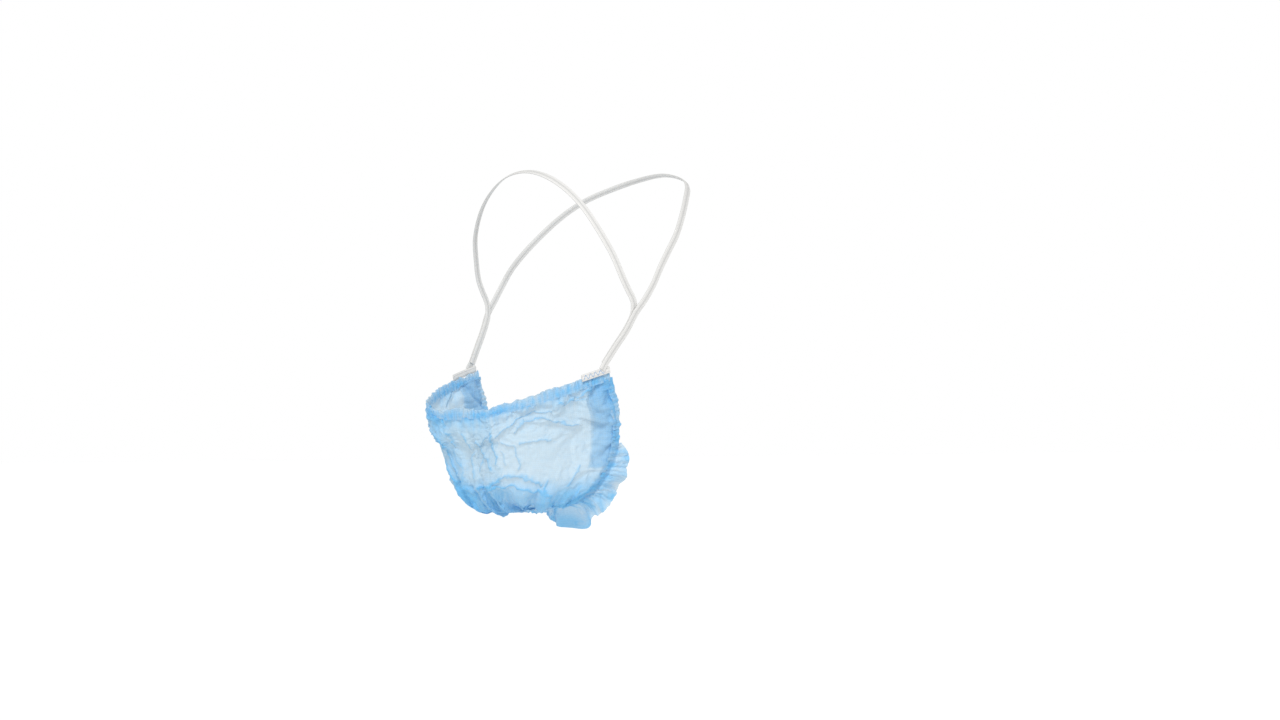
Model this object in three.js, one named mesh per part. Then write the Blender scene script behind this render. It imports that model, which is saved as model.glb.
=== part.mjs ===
// Disposable beard net in the shape it has when worn: a gathered cloth pouch hung from two elastic head bands.
// Millimetres, +Z up. The front is -Y and the left side, as worn, is +X.
// The origin is the chin seat, on the inside of the pouch's floor.
import * as THREE from "three";

// Pouch
const HALF_WIDTH = 70; // from the middle plane to the sides
const REACH = 100.5; // from the centre line forward to the cloth at the front
const NET_HEIGHT = 91; // from the floor up to the rear corners
const CENTRE_Y = 66; // the centre line, behind the origin
const SEAT_DROP = 7.7; // the origin, below the level that heights are counted from
const CLOTH = 1.2; // wall of crinkled cloth with the air in its creases
const GAP = 0.35; // between pieces that touch in the real net
const SEAM_GAP = 0.55; // between a gathered edge and what is sewn along it

// Gathers and creases
const GATHER_HIGH = 0.95;
const GATHER_FADE = 12; // how far a gather runs in from its hem
const GATHER_EASE = 14; // along a hem, from where its gathers start to their full height
const FOLD_HIGH = 2.0;
const FOLD_BROAD = 6;
const FOLD_EASE = 6; // how near an edge a fold starts to sink
const BILLOW_HIGH = 0.7;
const BILLOW_EASE = 12;

// Hems, turned-in edges and frill
const HEM_WIDE = 4.4;
const HEM_THICK = 2.4;
const PUCKER = 0.16; // share of the hem that its puckers take
const FACING_WIDE = 13.5;
const FACING_LONG = 55;
const FACING_THICK = 0.8;
const FRILL_WIDE = 14;
const FRILL_THICK = 1.0;
const RUFFLE_HIGH = 2.0;

// Elastic
const BAND_WIDE = 4.4;
const BAND_THICK = 0.8;
const BAND_REST = 0.5; // from the rounded form to a band that lies on it
const END_LONG = 16; // sewn end along the hem
const END_THICK = 1.1;
const END_INSET = 0.5; // from the corner's edge to the sewn end

// Rounded form that the bands lie on
const FORM_DEEP = 99.5; // half its depth
const FORM_BROAD = 77.6; // half its breadth
const CROWN = 220; // its top, above the level that heights are counted from

// Cells of the pouch's grid, from side to side and from the top edge round to the lower edge
const ACROSS = 84;
const DOWN = 20;

// Cloth per unit of u and of v
const CLOTH_ACROSS = 112;
const CLOTH_DOWN = 100;

// Level lines of the pouch from the top edge (v = 0) round under the floor to the lower edge (v = 1).
// wide: share of HALF_WIDTH. reach and rear: shares of REACH forward of the centre line, in the middle and at the rear edge.
// square: 2 is an ellipse, more is boxier. front and side: heights in the middle and at the rear edge, shares of NET_HEIGHT.
// power: how late the line climbs from front to side.
const LEVELS = [
  { v: 0.0, wide: 1.0, reach: 1.0, square: 2.8, rear: 0.303, front: 0.588, side: 0.863, power: 1.7 },
  { v: 0.08, wide: 1.007, reach: 0.995, square: 2.7, rear: 0.294, front: 0.533, side: 0.78, power: 1.7 },
  { v: 0.25, wide: 0.993, reach: 0.97, square: 2.5, rear: 0.259, front: 0.423, side: 0.593, power: 1.6 },
  { v: 0.45, wide: 0.95, reach: 0.935, square: 2.3, rear: 0.249, front: 0.286, side: 0.374, power: 1.4 },
  { v: 0.6, wide: 0.9, reach: 0.905, square: 2.2, rear: 0.289, front: 0.143, side: 0.198, power: 1.2 },
  { v: 0.72, wide: 0.829, reach: 0.851, square: 2.2, rear: 0.333, front: 0.033, side: 0.088, power: 1.1 },
  { v: 0.82, wide: 0.743, reach: 0.766, square: 2.1, rear: 0.363, front: -0.055, side: 0.027, power: 1.0 },
  { v: 0.9, wide: 0.671, reach: 0.657, square: 2.0, rear: 0.383, front: -0.091, side: -0.011, power: 1.0 },
  { v: 1.0, wide: 0.714, reach: 0.498, square: 2.0, rear: 0.378, front: -0.06, side: -0.027, power: 1.0 },
];

// Main folds of each side, as straight ridges between two points of the pouch.
// high: share of FOLD_HIGH outward. broad: share of FOLD_BROAD to each side.
const FOLDS = [
  { u0: 0.36, v0: 0.22, u1: 0.54, v1: 0.09, high: 1.0, broad: 0.8 },
  { u0: 0.54, v0: 0.09, u1: 0.7, v1: 0.13, high: 0.95, broad: 0.8 },
  { u0: 0.44, v0: 0.22, u1: 0.6, v1: 0.17, high: 0.8, broad: 0.8 },
  { u0: 0.6, v0: 0.17, u1: 0.86, v1: 0.29, high: 0.9, broad: 0.8 },
  { u0: 0.3, v0: 0.33, u1: 0.64, v1: 0.34, high: -0.75, broad: 1.0 },
  { u0: 0.42, v0: 0.35, u1: 0.46, v1: 0.52, high: 0.95, broad: 0.8 },
  { u0: 0.25, v0: 0.2, u1: 0.3, v1: 0.49, high: 1.0, broad: 0.8 },
  { u0: 0.11, v0: 0.24, u1: 0.26, v1: 0.53, high: -0.9, broad: 0.8 },
  { u0: 0.05, v0: 0.4, u1: 0.08, v1: 0.6, high: 0.95, broad: 0.8 },
  { u0: 0.1, v0: 0.67, u1: 0.4, v1: 0.57, high: 1.1, broad: 1.0 },
  { u0: 0.4, v0: 0.57, u1: 0.66, v1: 0.65, high: 1.1, broad: 1.0 },
  { u0: 0.2, v0: 0.75, u1: 0.6, v1: 0.72, high: -1.1, broad: 1.0 },
  { u0: 0.67, v0: 0.6, u1: 0.76, v1: 0.84, high: 1.2, broad: 1.0 },
  { u0: 0.84, v0: 0.5, u1: 0.8, v1: 0.68, high: 1.0, broad: 1.0 },
  { u0: 0.3, v0: 0.95, u1: 0.45, v1: 0.8, high: 0.95, broad: 1.0 },
  { u0: 0.74, v0: 0.08, u1: 0.9, v1: 0.02, high: 0.7, broad: 0.8 },
];

// Frill beyond the rear hem. along: 0 at the corner, 1 where the rear edge turns under, 2 in the middle of the lower edge.
// wide: share of FRILL_WIDE. down: how much it hangs against how much it goes on from the cloth.
const FRILL = [
  { along: 0.42, wide: 0.2, down: 0.0 },
  { along: 0.52, wide: 0.62, down: 0.05 },
  { along: 0.62, wide: 0.74, down: 0.2 },
  { along: 0.74, wide: 0.88, down: 0.6 },
  { along: 0.88, wide: 1.0, down: 1.0 },
  { along: 1.0, wide: 0.98, down: 1.1 },
  { along: 1.35, wide: 0.75, down: 0.8 },
  { along: 2.0, wide: 0.4, down: 0.3 },
];

// Level lines of the form. up: share of CROWN. deep: share of FORM_DEEP and of FORM_BROAD.
// back: how far the line's centre lies behind, share of FORM_DEEP.
const FORM_LEVELS = [
  { up: 0.273, deep: 0.844, back: -0.131 },
  { up: 0.335, deep: 0.868, back: -0.121 },
  { up: 0.393, deep: 0.884, back: -0.111 },
  { up: 0.521, deep: 0.975, back: -0.037 },
  { up: 0.614, deep: 1.0, back: 0.0 },
  { up: 0.672, deep: 0.993, back: 0.016 },
  { up: 0.771, deep: 0.925, back: 0.04 },
  { up: 0.852, deep: 0.804, back: 0.065 },
  { up: 0.922, deep: 0.64, back: 0.095 },
  { up: 0.951, deep: 0.533, back: 0.101 },
  { up: 0.975, deep: 0.387, back: 0.111 },
  { up: 1.0, deep: 0.05, back: 0.115 },
];

// Routes of the bands on one side, from a corner of the pouch to the last point before the middle plane.
// back: share of FORM_DEEP behind the centre line. up: share of CROWN.
// over: 1 where the band lies on the other one, 0 where it lies on the form. held: how far it keeps to the pouch's corner.
const FRONT_ROUTE = [
  { back: -0.33, up: 0.395, over: 0, held: 1 },
  { back: -0.275, up: 0.445, over: 0, held: 0.55 },
  { back: -0.222, up: 0.49, over: 0, held: 0.2 },
  { back: -0.176, up: 0.54, over: 0, held: 0 },
  { back: -0.178, up: 0.575, over: 0, held: 0 },
  { back: -0.219, up: 0.61, over: 0, held: 0 },
  { back: -0.255, up: 0.643, over: 0, held: 0 },
  { back: -0.3, up: 0.703, over: 0, held: 0 },
  { back: -0.35, up: 0.765, over: 0, held: 0 },
  { back: -0.395, up: 0.844, over: 0, held: 0 },
  { back: -0.424, up: 0.902, over: 0, held: 0 },
  { back: -0.444, up: 0.936, over: 0, held: 0 },
];
const REAR_ROUTE = [
  { back: -0.33, up: 0.395, over: 1, held: 1 },
  { back: -0.275, up: 0.445, over: 1, held: 0.55 },
  { back: -0.218, up: 0.492, over: 1, held: 0.2 },
  { back: -0.164, up: 0.544, over: 1, held: 0 },
  { back: -0.107, up: 0.578, over: 1, held: 0 },
  { back: -0.04, up: 0.623, over: 0.75, held: 0 },
  { back: 0.028, up: 0.672, over: 0.25, held: 0 },
  { back: 0.11, up: 0.719, over: 0, held: 0 },
  { back: 0.208, up: 0.768, over: 0, held: 0 },
  { back: 0.329, up: 0.829, over: 0, held: 0 },
  { back: 0.436, up: 0.873, over: 0, held: 0 },
  { back: 0.546, up: 0.905, over: 0, held: 0 },
  { back: 0.625, up: 0.928, over: 0, held: 0 },
];
// Where each band crosses the middle plane, share of FORM_DEEP behind the centre line
const FRONT_MIDDLE = -0.445;
const REAR_MIDDLE = 0.662;
const BAND_STEPS = 60;

const cloth = new THREE.MeshStandardMaterial({ color: 0xa4cdeb, roughness: 0.8, side: THREE.DoubleSide });
const gathered = new THREE.MeshStandardMaterial({ color: 0x6fb2e6, roughness: 0.8, side: THREE.DoubleSide });
const frilled = new THREE.MeshStandardMaterial({ color: 0x9bc9ec, roughness: 0.8, side: THREE.DoubleSide });
const elastic = new THREE.MeshStandardMaterial({ color: 0xf0edea, roughness: 0.7, side: THREE.DoubleSide });

const vector = (x, y, z) => new THREE.Vector3(x, y, z);
const clamp = THREE.MathUtils.clamp;
const root = new THREE.Group();
root.name = "beard_net";

// Smooth value of one column of a table at x, with slopes taken from the neighbouring rows.
function column(rows, key, x, name) {
  const last = rows.length - 1;
  const slope = (k) => {
    const a = rows[Math.max(k - 1, 0)];
    const b = rows[Math.min(k + 1, last)];
    return (b[name] - a[name]) / (b[key] - a[key]);
  };
  const at = clamp(x, rows[0][key], rows[last][key]);
  let k = 0;
  while (k < last - 1 && at > rows[k + 1][key]) k += 1;
  const h = rows[k + 1][key] - rows[k][key];
  const t = (at - rows[k][key]) / h;
  const t2 = t * t;
  const t3 = t2 * t;
  return (
    (2 * t3 - 3 * t2 + 1) * rows[k][name] +
    (t3 - 2 * t2 + t) * h * slope(k) +
    (3 * t2 - 2 * t3) * rows[k + 1][name] +
    (t3 - t2) * h * slope(k + 1)
  );
}

// The pouch without its creases. u runs from -1 at the right rear edge to 1 at the left, v as in LEVELS.
function smoothPouch(u, v) {
  const get = (name) => column(LEVELS, "v", v, name);
  const wide = get("wide") * HALF_WIDTH;
  const reach = get("reach") * REACH;
  const square = get("square");
  const rear = get("rear") * REACH;
  const front = get("front") * NET_HEIGHT;
  const side = get("side") * NET_HEIGHT;
  const turn = u * Math.acos(clamp(Math.pow(rear / reach, square / 2), 0, 1));
  const s = Math.sin(turn);
  return vector(
    wide * Math.sign(s) * Math.pow(Math.abs(s), 2 / square),
    CENTRE_Y - reach * Math.pow(Math.cos(turn), 2 / square),
    SEAT_DROP + front + (side - front) * Math.pow(Math.abs(u), get("power")),
  );
}

// Outward normal of the smooth pouch.
function pouchNormal(u, v) {
  const e = 0.004;
  const du = smoothPouch(Math.min(u + e, 1), v).sub(smoothPouch(Math.max(u - e, -1), v));
  const dv = smoothPouch(u, Math.min(v + e, 1)).sub(smoothPouch(u, Math.max(v - e, 0)));
  return dv.cross(du).normalize();
}

// Distance in cloth from (u, v) to a fold's line.
function foldDistance(u, v, fold) {
  const ax = fold.u0 * CLOTH_ACROSS;
  const ay = fold.v0 * CLOTH_DOWN;
  const bx = fold.u1 * CLOTH_ACROSS - ax;
  const by = fold.v1 * CLOTH_DOWN - ay;
  const px = u * CLOTH_ACROSS - ax;
  const py = v * CLOTH_DOWN - ay;
  const t = clamp((px * bx + py * by) / (bx * bx + by * by), 0, 1);
  return Math.hypot(px - t * bx, py - t * by);
}

// How far the cloth stands out from the smooth pouch: gathers that fade away from each hem, the main folds, and soft billows.
function relief(u, v, i, j) {
  const a = Math.abs(u);
  const toRear = (1 - a) * CLOTH_ACROSS;
  const fromTop = v * CLOTH_DOWN;
  const toLower = (1 - v) * CLOTH_DOWN;
  const ramp = (distance, length) => clamp(distance / length, 0, 1);
  const wave = [1, 0.15, -0.9, 0.1][Math.floor(Math.abs(i - ACROSS / 2)) % 4];
  const swap = j % 2 ? 1 : -1;
  const uneven = 0.75 + 0.25 * Math.sin(9.1 * a + 1.3);
  const top = uneven * wave * Math.exp(-fromTop / GATHER_FADE) * ramp(toRear - END_LONG, GATHER_EASE / 2);
  const lower = 0.63 * wave * Math.exp(-toLower / GATHER_FADE) * ramp(toRear, GATHER_EASE);
  const sides = ramp(fromTop, GATHER_EASE) * ramp(toLower, GATHER_EASE);
  const rear = 0.9 * swap * sides * Math.exp((-1.3 * toRear) / GATHER_FADE);
  const inside = ramp(fromTop, BILLOW_EASE) * ramp(toLower, BILLOW_EASE) * ramp(toRear, BILLOW_EASE);
  const billow = inside * Math.sin(11 * a + 3 * v) * Math.sin(10 * v + 4 * a + 0.6);
  let out = GATHER_HIGH * (top + lower + rear) + BILLOW_HIGH * billow;
  for (const fold of FOLDS) {
    const d = foldDistance(a, v, fold) / (fold.broad * FOLD_BROAD);
    out += FOLD_HIGH * fold.high * Math.exp(-2 * d * d) * ramp(fromTop, FOLD_EASE) * ramp(toRear, FOLD_EASE);
  }
  return out;
}

// Normals of a grid of points, by the neighbours along both of its directions.
function gridNormals(points) {
  const lastRow = points.length - 1;
  return points.map((line, i) =>
    line.map((_, j) => {
      const du = points[Math.min(i + 1, lastRow)][j].clone().sub(points[Math.max(i - 1, 0)][j]);
      const dv = line[Math.min(j + 1, line.length - 1)].clone().sub(line[Math.max(j - 1, 0)]);
      return dv.cross(du).normalize();
    }),
  );
}

// Adds a named mesh from points and triangles, turned so that it faces outward.
function addMesh(name, points, faces, material) {
  let volume = 0;
  for (const [a, b, c] of faces) volume += points[a].dot(points[b].clone().cross(points[c]));
  const flat = [];
  for (const [a, b, c] of faces) {
    for (const k of volume < 0 ? [a, c, b] : [a, b, c]) flat.push(points[k].x, points[k].y, points[k].z);
  }
  const geometry = new THREE.BufferGeometry();
  geometry.setAttribute("position", new THREE.Float32BufferAttribute(flat, 3));
  geometry.computeVertexNormals();
  const mesh = new THREE.Mesh(geometry, material);
  mesh.name = name;
  root.add(mesh);
}

// A closed wall between two offsets of a grid of points along their normals.
function addWall(name, points, normals, inner, outer, material) {
  const rows = points.length;
  const cols = points[0].length;
  const all = [];
  for (const offset of [outer, inner]) {
    for (let i = 0; i < rows; i += 1) {
      for (let j = 0; j < cols; j += 1) all.push(points[i][j].clone().addScaledVector(normals[i][j], offset));
    }
  }
  const at = (side, i, j) => side * rows * cols + i * cols + j;
  const faces = [];
  const quad = (a, b, c, d) => faces.push([a, b, c], [a, c, d]);
  for (let i = 0; i < rows - 1; i += 1) {
    for (let j = 0; j < cols - 1; j += 1) {
      quad(at(0, i, j), at(0, i, j + 1), at(0, i + 1, j + 1), at(0, i + 1, j));
      quad(at(1, i, j), at(1, i + 1, j), at(1, i + 1, j + 1), at(1, i, j + 1));
    }
  }
  const rim = [];
  for (let i = 0; i < rows - 1; i += 1) rim.push([i, 0]);
  for (let j = 0; j < cols - 1; j += 1) rim.push([rows - 1, j]);
  for (let i = rows - 1; i > 0; i -= 1) rim.push([i, cols - 1]);
  for (let j = cols - 1; j > 0; j -= 1) rim.push([0, j]);
  rim.forEach(([i, j], k) => {
    const [p, q] = rim[(k + 1) % rim.length];
    quad(at(0, i, j), at(0, p, q), at(1, p, q), at(1, i, j));
  });
  addMesh(name, all, faces, material);
}

// A closed bar through a row of loops that all have the same number of points.
function addBar(name, loops, material) {
  const k = loops[0].length;
  const faces = [];
  for (let s = 0; s < loops.length - 1; s += 1) {
    for (let m = 0; m < k; m += 1) {
      const a = s * k + m;
      const b = s * k + ((m + 1) % k);
      faces.push([a, b, b + k], [a, b + k, a + k]);
    }
  }
  const end = (loops.length - 1) * k;
  for (let m = 1; m < k - 1; m += 1) faces.push([0, m + 1, m], [end, end + m, end + m + 1]);
  addMesh(name, loops.flat(), faces, material);
}

// Places a section's points, given as distances along two directions, round a point.
const section = (point, first, second, pairs) =>
  pairs.map(([a, b]) => point.clone().addScaledVector(first, a).addScaledVector(second, b));

// One loop of a hem: a puckered bead that starts SEAM_GAP outside the cloth's edge.
function hemLoop(point, normal, away, count) {
  const pucker = 1 - PUCKER * [0, 1, 0.35, 1.2][count % 4];
  const near = SEAM_GAP;
  const far = SEAM_GAP + HEM_WIDE * pucker;
  const mid = (near + far) / 2;
  const half = HEM_THICK / 2;
  return section(point, away, normal, [
    [near, 0.7 * half],
    [mid, half * pucker],
    [far, 0.45 * half],
    [far, -0.45 * half],
    [mid, -half],
    [near, -0.7 * half],
  ]);
}

// The part of a direction that lies across a normal.
function flattened(direction, normal) {
  return direction.clone().addScaledVector(normal, -direction.dot(normal)).normalize();
}

// Averages each direction with its neighbours so that a hem turns a corner without folding on itself.
function smoothed(directions, rounds) {
  let now = directions;
  for (let r = 0; r < rounds; r += 1) {
    now = now.map((way, k) => {
      const sum = way.clone().multiplyScalar(2).add(now[Math.max(k - 1, 0)]);
      return sum.add(now[Math.min(k + 1, now.length - 1)]).normalize();
    });
  }
  return now;
}

// Pouch, from its creased middle surface
const grid = [];
for (let i = 0; i <= ACROSS; i += 1) {
  const u = (2 * i) / ACROSS - 1;
  grid.push([]);
  for (let j = 0; j <= DOWN; j += 1) {
    const v = j / DOWN;
    grid[i].push(smoothPouch(u, v).addScaledVector(pouchNormal(u, v), relief(u, v, i, j)));
  }
}
const gridNormal = gridNormals(grid);
addWall("net_pouch", grid, gridNormal, -CLOTH / 2, CLOTH / 2, cloth);

// Turned-in edge behind each corner, inside the pouch and following its creases
const facingAcross = Math.round((FACING_WIDE / CLOTH_ACROSS) * (ACROSS / 2));
const facingDown = Math.round((FACING_LONG / CLOTH_DOWN) * DOWN);
for (const [name, start] of [
  ["left_turned_edge", ACROSS - facingAcross],
  ["right_turned_edge", 0],
]) {
  const part = (list) => list.slice(start, start + facingAcross + 1).map((line) => line.slice(0, facingDown + 1));
  const outer = -CLOTH / 2 - GAP;
  addWall(name, part(grid), part(gridNormal), outer - FACING_THICK, outer, cloth);
}

// Top hem, from corner to corner
const topAway = smoothed(
  grid.map((line, i) => flattened(line[0].clone().sub(line[1]), gridNormal[i][0])),
  2,
);
addBar(
  "top_hem",
  grid.map((line, i) => hemLoop(line[0], gridNormal[i][0], topAway[i], i)),
  gathered,
);

// Rear hem, from the right corner down the rear edge, along the lower edge and up to the left corner
const LOWER_STEP = 3;
const rearPath = [];
for (let j = 0; j <= DOWN; j += 1) rearPath.push({ i: 0, j, along: j / DOWN });
for (let i = LOWER_STEP; i < ACROSS; i += LOWER_STEP) {
  rearPath.push({ i, j: DOWN, along: 1 + Math.min(i, ACROSS - i) / (ACROSS / 2) });
}
for (let j = DOWN; j >= 0; j -= 1) rearPath.push({ i: ACROSS, j, along: j / DOWN });
const rearWays = rearPath.map(({ i, j }) => {
  const away = vector(0, 0, 0);
  if (i === 0) away.add(grid[0][j].clone().sub(grid[1][j]).normalize());
  if (i === ACROSS) away.add(grid[ACROSS][j].clone().sub(grid[ACROSS - 1][j]).normalize());
  if (j === DOWN) away.add(grid[i][DOWN].clone().sub(grid[i][DOWN - 1]).normalize());
  return flattened(away, gridNormal[i][j]);
});
const rearAway = smoothed(rearWays, 3);
addBar(
  "rear_hem",
  rearPath.map(({ i, j }, k) => hemLoop(grid[i][j], gridNormal[i][j], rearAway[k], k)),
  gathered,
);

// Lower frill: loose cloth beyond the rear hem
const FRILL_ROWS = 4;
const frillPoints = [];
rearPath.forEach(({ i, j, along }, k) => {
  if (along < FRILL[0].along) return;
  const wide = column(FRILL, "along", along, "wide") * FRILL_WIDE;
  const down = column(FRILL, "along", along, "down");
  const start = grid[i][j].clone().addScaledVector(rearAway[k], HEM_WIDE + 2 * SEAM_GAP);
  const uneven = 1 + 0.1 * Math.sin(2.3 * k);
  const line = [];
  for (let r = 0; r <= FRILL_ROWS; r += 1) {
    const t = r / FRILL_ROWS;
    const way = rearAway[k].clone().addScaledVector(vector(0, 0, -1), down * Math.sqrt(t)).normalize();
    const ruffle = RUFFLE_HIGH * t * (k % 2 ? 1 : -1) * (0.8 + 0.2 * Math.cos(1.7 * k));
    const side = flattened(gridNormal[i][j], way);
    line.push(start.clone().addScaledVector(way, wide * t * uneven).addScaledVector(side, ruffle));
  }
  frillPoints.push(line);
});
addWall("lower_frill", frillPoints, gridNormals(frillPoints), -FRILL_THICK / 2, FRILL_THICK / 2, frilled);

// The form under the bands: a point on it, how a point compares with it (1 is on it), and its outward normal
function formPoint(back, up) {
  const share = column(FORM_LEVELS, "up", up, "deep");
  const from = back - column(FORM_LEVELS, "up", up, "back");
  const wide = Math.sqrt(clamp(1 - (from / share) ** 2, 0, 1));
  return vector(FORM_BROAD * share * wide, CENTRE_Y + back * FORM_DEEP, SEAT_DROP + up * CROWN);
}
function formField(p) {
  const up = (p.z - SEAT_DROP) / CROWN;
  const share = column(FORM_LEVELS, "up", up, "deep");
  const from = (p.y - CENTRE_Y) / FORM_DEEP - column(FORM_LEVELS, "up", up, "back");
  return (p.x / (FORM_BROAD * share)) ** 2 + (from / share) ** 2;
}
function formNormal(p) {
  const e = FORM_DEEP / 200;
  const slope = (x, y, z) => formField(p.clone().add(vector(x, y, z))) - formField(p.clone().sub(vector(x, y, z)));
  return vector(slope(e, 0, 0), slope(0, e, 0), slope(0, 0, e)).normalize();
}

// The form's top point on the middle plane, found by halving.
function formMiddle(back) {
  const p = vector(0, CENTRE_Y + back * FORM_DEEP, 0);
  let low = SEAT_DROP + 0.7 * CROWN;
  let high = SEAT_DROP + CROWN;
  for (let k = 0; k < 40; k += 1) {
    p.z = (low + high) / 2;
    if (formField(p) < 1) low = p.z;
    else high = p.z;
  }
  return p;
}

// The sewn ends lie on the hem's outer face and stand partly above the hem. A band's cut end slants against them.
const endInner = HEM_THICK / 2;
const endLow = SEAM_GAP + 0.6 * HEM_WIDE;
const BAND_SLANT = 0.42;

// Where a band's inner face starts, just above the left sewn end. over is 1 for the outer one of the two bands.
function bandStart(over) {
  const u = 1 - (0.6 * BAND_WIDE) / CLOTH_ACROSS;
  const normal = pouchNormal(u, 0);
  const away = flattened(topAway[ACROSS - 1], normal);
  const up = endLow + BAND_WIDE + GAP + BAND_SLANT * BAND_WIDE;
  const stack = BAND_THICK + GAP;
  const inner = endInner + END_THICK / 2 - stack + GAP / 2 + over * stack;
  return smoothPouch(u, 0).addScaledVector(away, up).addScaledVector(normal, inner);
}

// A flat band over the form, the same on both sides. Near a corner it lies as flat as the pouch does there.
function addBand(name, route, middle) {
  const lifted = (p, over) => p.addScaledVector(formNormal(p), BAND_REST + over * (BAND_THICK + GAP));
  const left = route.map((row) => lifted(formPoint(row.back, row.up), row.over));
  const shift = bandStart(route[0].over).sub(left[0]);
  route.forEach((row, k) => left[k].addScaledVector(shift, row.held));
  const right = left.map((p) => vector(-p.x, p.y, p.z)).reverse();
  const curve = new THREE.CatmullRomCurve3([...left, lifted(formMiddle(middle), 0), ...right], false, "centripetal");
  const loops = [];
  for (let k = 0; k <= BAND_STEPS; k += 1) {
    const p = curve.getPoint(k / BAND_STEPS);
    const along = curve.getTangent(k / BAND_STEPS);
    const row = Math.min(k, BAND_STEPS - k) * ((2 * route.length) / BAND_STEPS);
    const low = Math.min(Math.floor(row), route.length - 1);
    const high = Math.min(low + 1, route.length - 1);
    const held = THREE.MathUtils.lerp(route[low].held, route[high].held, row - low);
    const corner = pouchNormal(2 * k < BAND_STEPS ? 1 : -1, 0);
    const facing = formNormal(p).lerp(corner, held);
    const across = facing.cross(along).normalize();
    const out = along.clone().cross(across).normalize();
    const half = BAND_WIDE / 2;
    loops.push(
      section(p, across, out, [
        [-half, 0],
        [half, 0],
        [half, BAND_THICK],
        [-half, BAND_THICK],
      ]),
    );
  }
  addBar(name, loops, elastic);
}
addBand("front_head_band", FRONT_ROUTE, FRONT_MIDDLE);
addBand("rear_head_band", REAR_ROUTE, REAR_MIDDLE);

// Sewn ends of the elastic: flat strips along the top hem at each corner, partly above it
const END_CELLS = 6;
for (const [name, side] of [
  ["left_sewn_end", 1],
  ["right_sewn_end", -1],
]) {
  const mirrored = (p) => vector(side * p.x, p.y, p.z);
  const loops = [];
  for (let c = 0; c <= END_CELLS; c += 1) {
    const u = 1 - (END_INSET + (c * END_LONG) / END_CELLS) / CLOTH_ACROSS;
    const normal = pouchNormal(u, 0);
    const away = flattened(topAway[Math.round(((u + 1) / 2) * ACROSS)], normal);
    loops.push(
      section(mirrored(smoothPouch(u, 0)), mirrored(away), mirrored(normal), [
        [endLow, endInner],
        [endLow + BAND_WIDE, endInner],
        [endLow + BAND_WIDE, endInner + END_THICK],
        [endLow, endInner + END_THICK],
      ]),
    );
  }
  addBar(name, loops, elastic);
}

export default root;
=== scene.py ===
"""Disposable beard net in the shape it has when worn.

A gathered pouch of thin, crinkled blue nonwoven hangs from two loops of flat knitted elastic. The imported
model gives the place of every piece. This script makes the cloth, the hems, the frill and the elastic that
are seen.
"""

import logging
import math
from collections.abc import Callable, Iterable, Sequence
from dataclasses import dataclass, field
from enum import Enum

import bmesh
import bpy
import numpy as np
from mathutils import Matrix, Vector, noise


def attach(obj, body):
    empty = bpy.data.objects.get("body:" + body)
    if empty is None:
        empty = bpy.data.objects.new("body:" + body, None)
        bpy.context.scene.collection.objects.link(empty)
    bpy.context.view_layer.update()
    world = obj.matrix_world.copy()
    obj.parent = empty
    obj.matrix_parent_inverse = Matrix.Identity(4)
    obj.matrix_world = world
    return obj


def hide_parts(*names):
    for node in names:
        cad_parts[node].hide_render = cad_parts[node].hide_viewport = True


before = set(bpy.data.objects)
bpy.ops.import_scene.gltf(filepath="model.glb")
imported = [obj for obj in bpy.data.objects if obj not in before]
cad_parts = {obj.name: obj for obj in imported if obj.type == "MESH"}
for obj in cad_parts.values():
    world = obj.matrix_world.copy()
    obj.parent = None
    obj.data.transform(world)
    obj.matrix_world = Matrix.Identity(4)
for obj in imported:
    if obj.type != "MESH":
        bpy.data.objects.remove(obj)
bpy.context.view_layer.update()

log = logging.getLogger("beard_net")

MM = 0.001
NOISE_SEED = 11
# Points closer than this are one point, in metres.
MERGE = 1e-6
# The shortest length that anything is divided by, in metres.
NO_LENGTH = 1e-9
# Corners of a packed bar closer than this are one corner, in metres.
SAME_CORNER = 2e-5
# How many corners one cut through a packed bar has.
CORNERS = 4
# How far a place stays before the last index, so that another one follows it.
JUST = 1e-6
# Points within this share of the cloth's edge are sewn down.
EDGE = 0.001
# Higher than the whole net, in metres.
ABOVE_ALL = 1.0
UV_MAP = "UVMap"
# The point attribute that sets how deep a cloth's blue is: its layers, and on the pouch also painted
# shade.
LAYERS = "layers"
KNIT = "knit"
Colour = tuple[float, float, float, float]


class Side(Enum):
    """The two sides of the net, as worn, by the sign of X."""

    LEFT = 1
    RIGHT = -1

    @property
    def word(self) -> str:
        """Returns the side as it stands in the names of pieces."""
        return self.name.lower()


def ramp(distance: float, length: float) -> float:
    """Returns 0 at no distance, rising evenly to 1 at length."""
    return min(max(distance / length, 0.0), 1.0)


def eased(distance: float, length: float) -> float:
    """Returns 0 at no distance, rising to 1 at length without a corner at either end."""
    t = ramp(distance, length)
    return t * t * (3 - 2 * t)


def blend(a: float, b: float, share: float) -> float:
    """Returns the value that lies share of the way from a to b."""
    return a + (b - a) * share


def sharp_wave(x: float) -> float:
    """Returns a wave with pointed crests, from 0 up to 1 and back once for each whole number."""
    return (1 - abs(2 * (x - math.floor(x)) - 1)) ** 1.3


def hump(distance: float, broad: float, power: int = 2) -> float:
    """Returns 1 at no distance, falling to nearly 0 well beyond broad."""
    return math.exp(-((distance / broad) ** power))


def faded(distance: float, reach: float) -> float:
    """Returns 1 at no distance, falling to about a third at reach and on towards 0."""
    return math.exp(-distance / reach)


def rough(x: float, y: float, z: float) -> float:
    """Returns smooth noise at a place, from about -1 to 1."""
    return noise.noise(Vector((x, y, z)))


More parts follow.
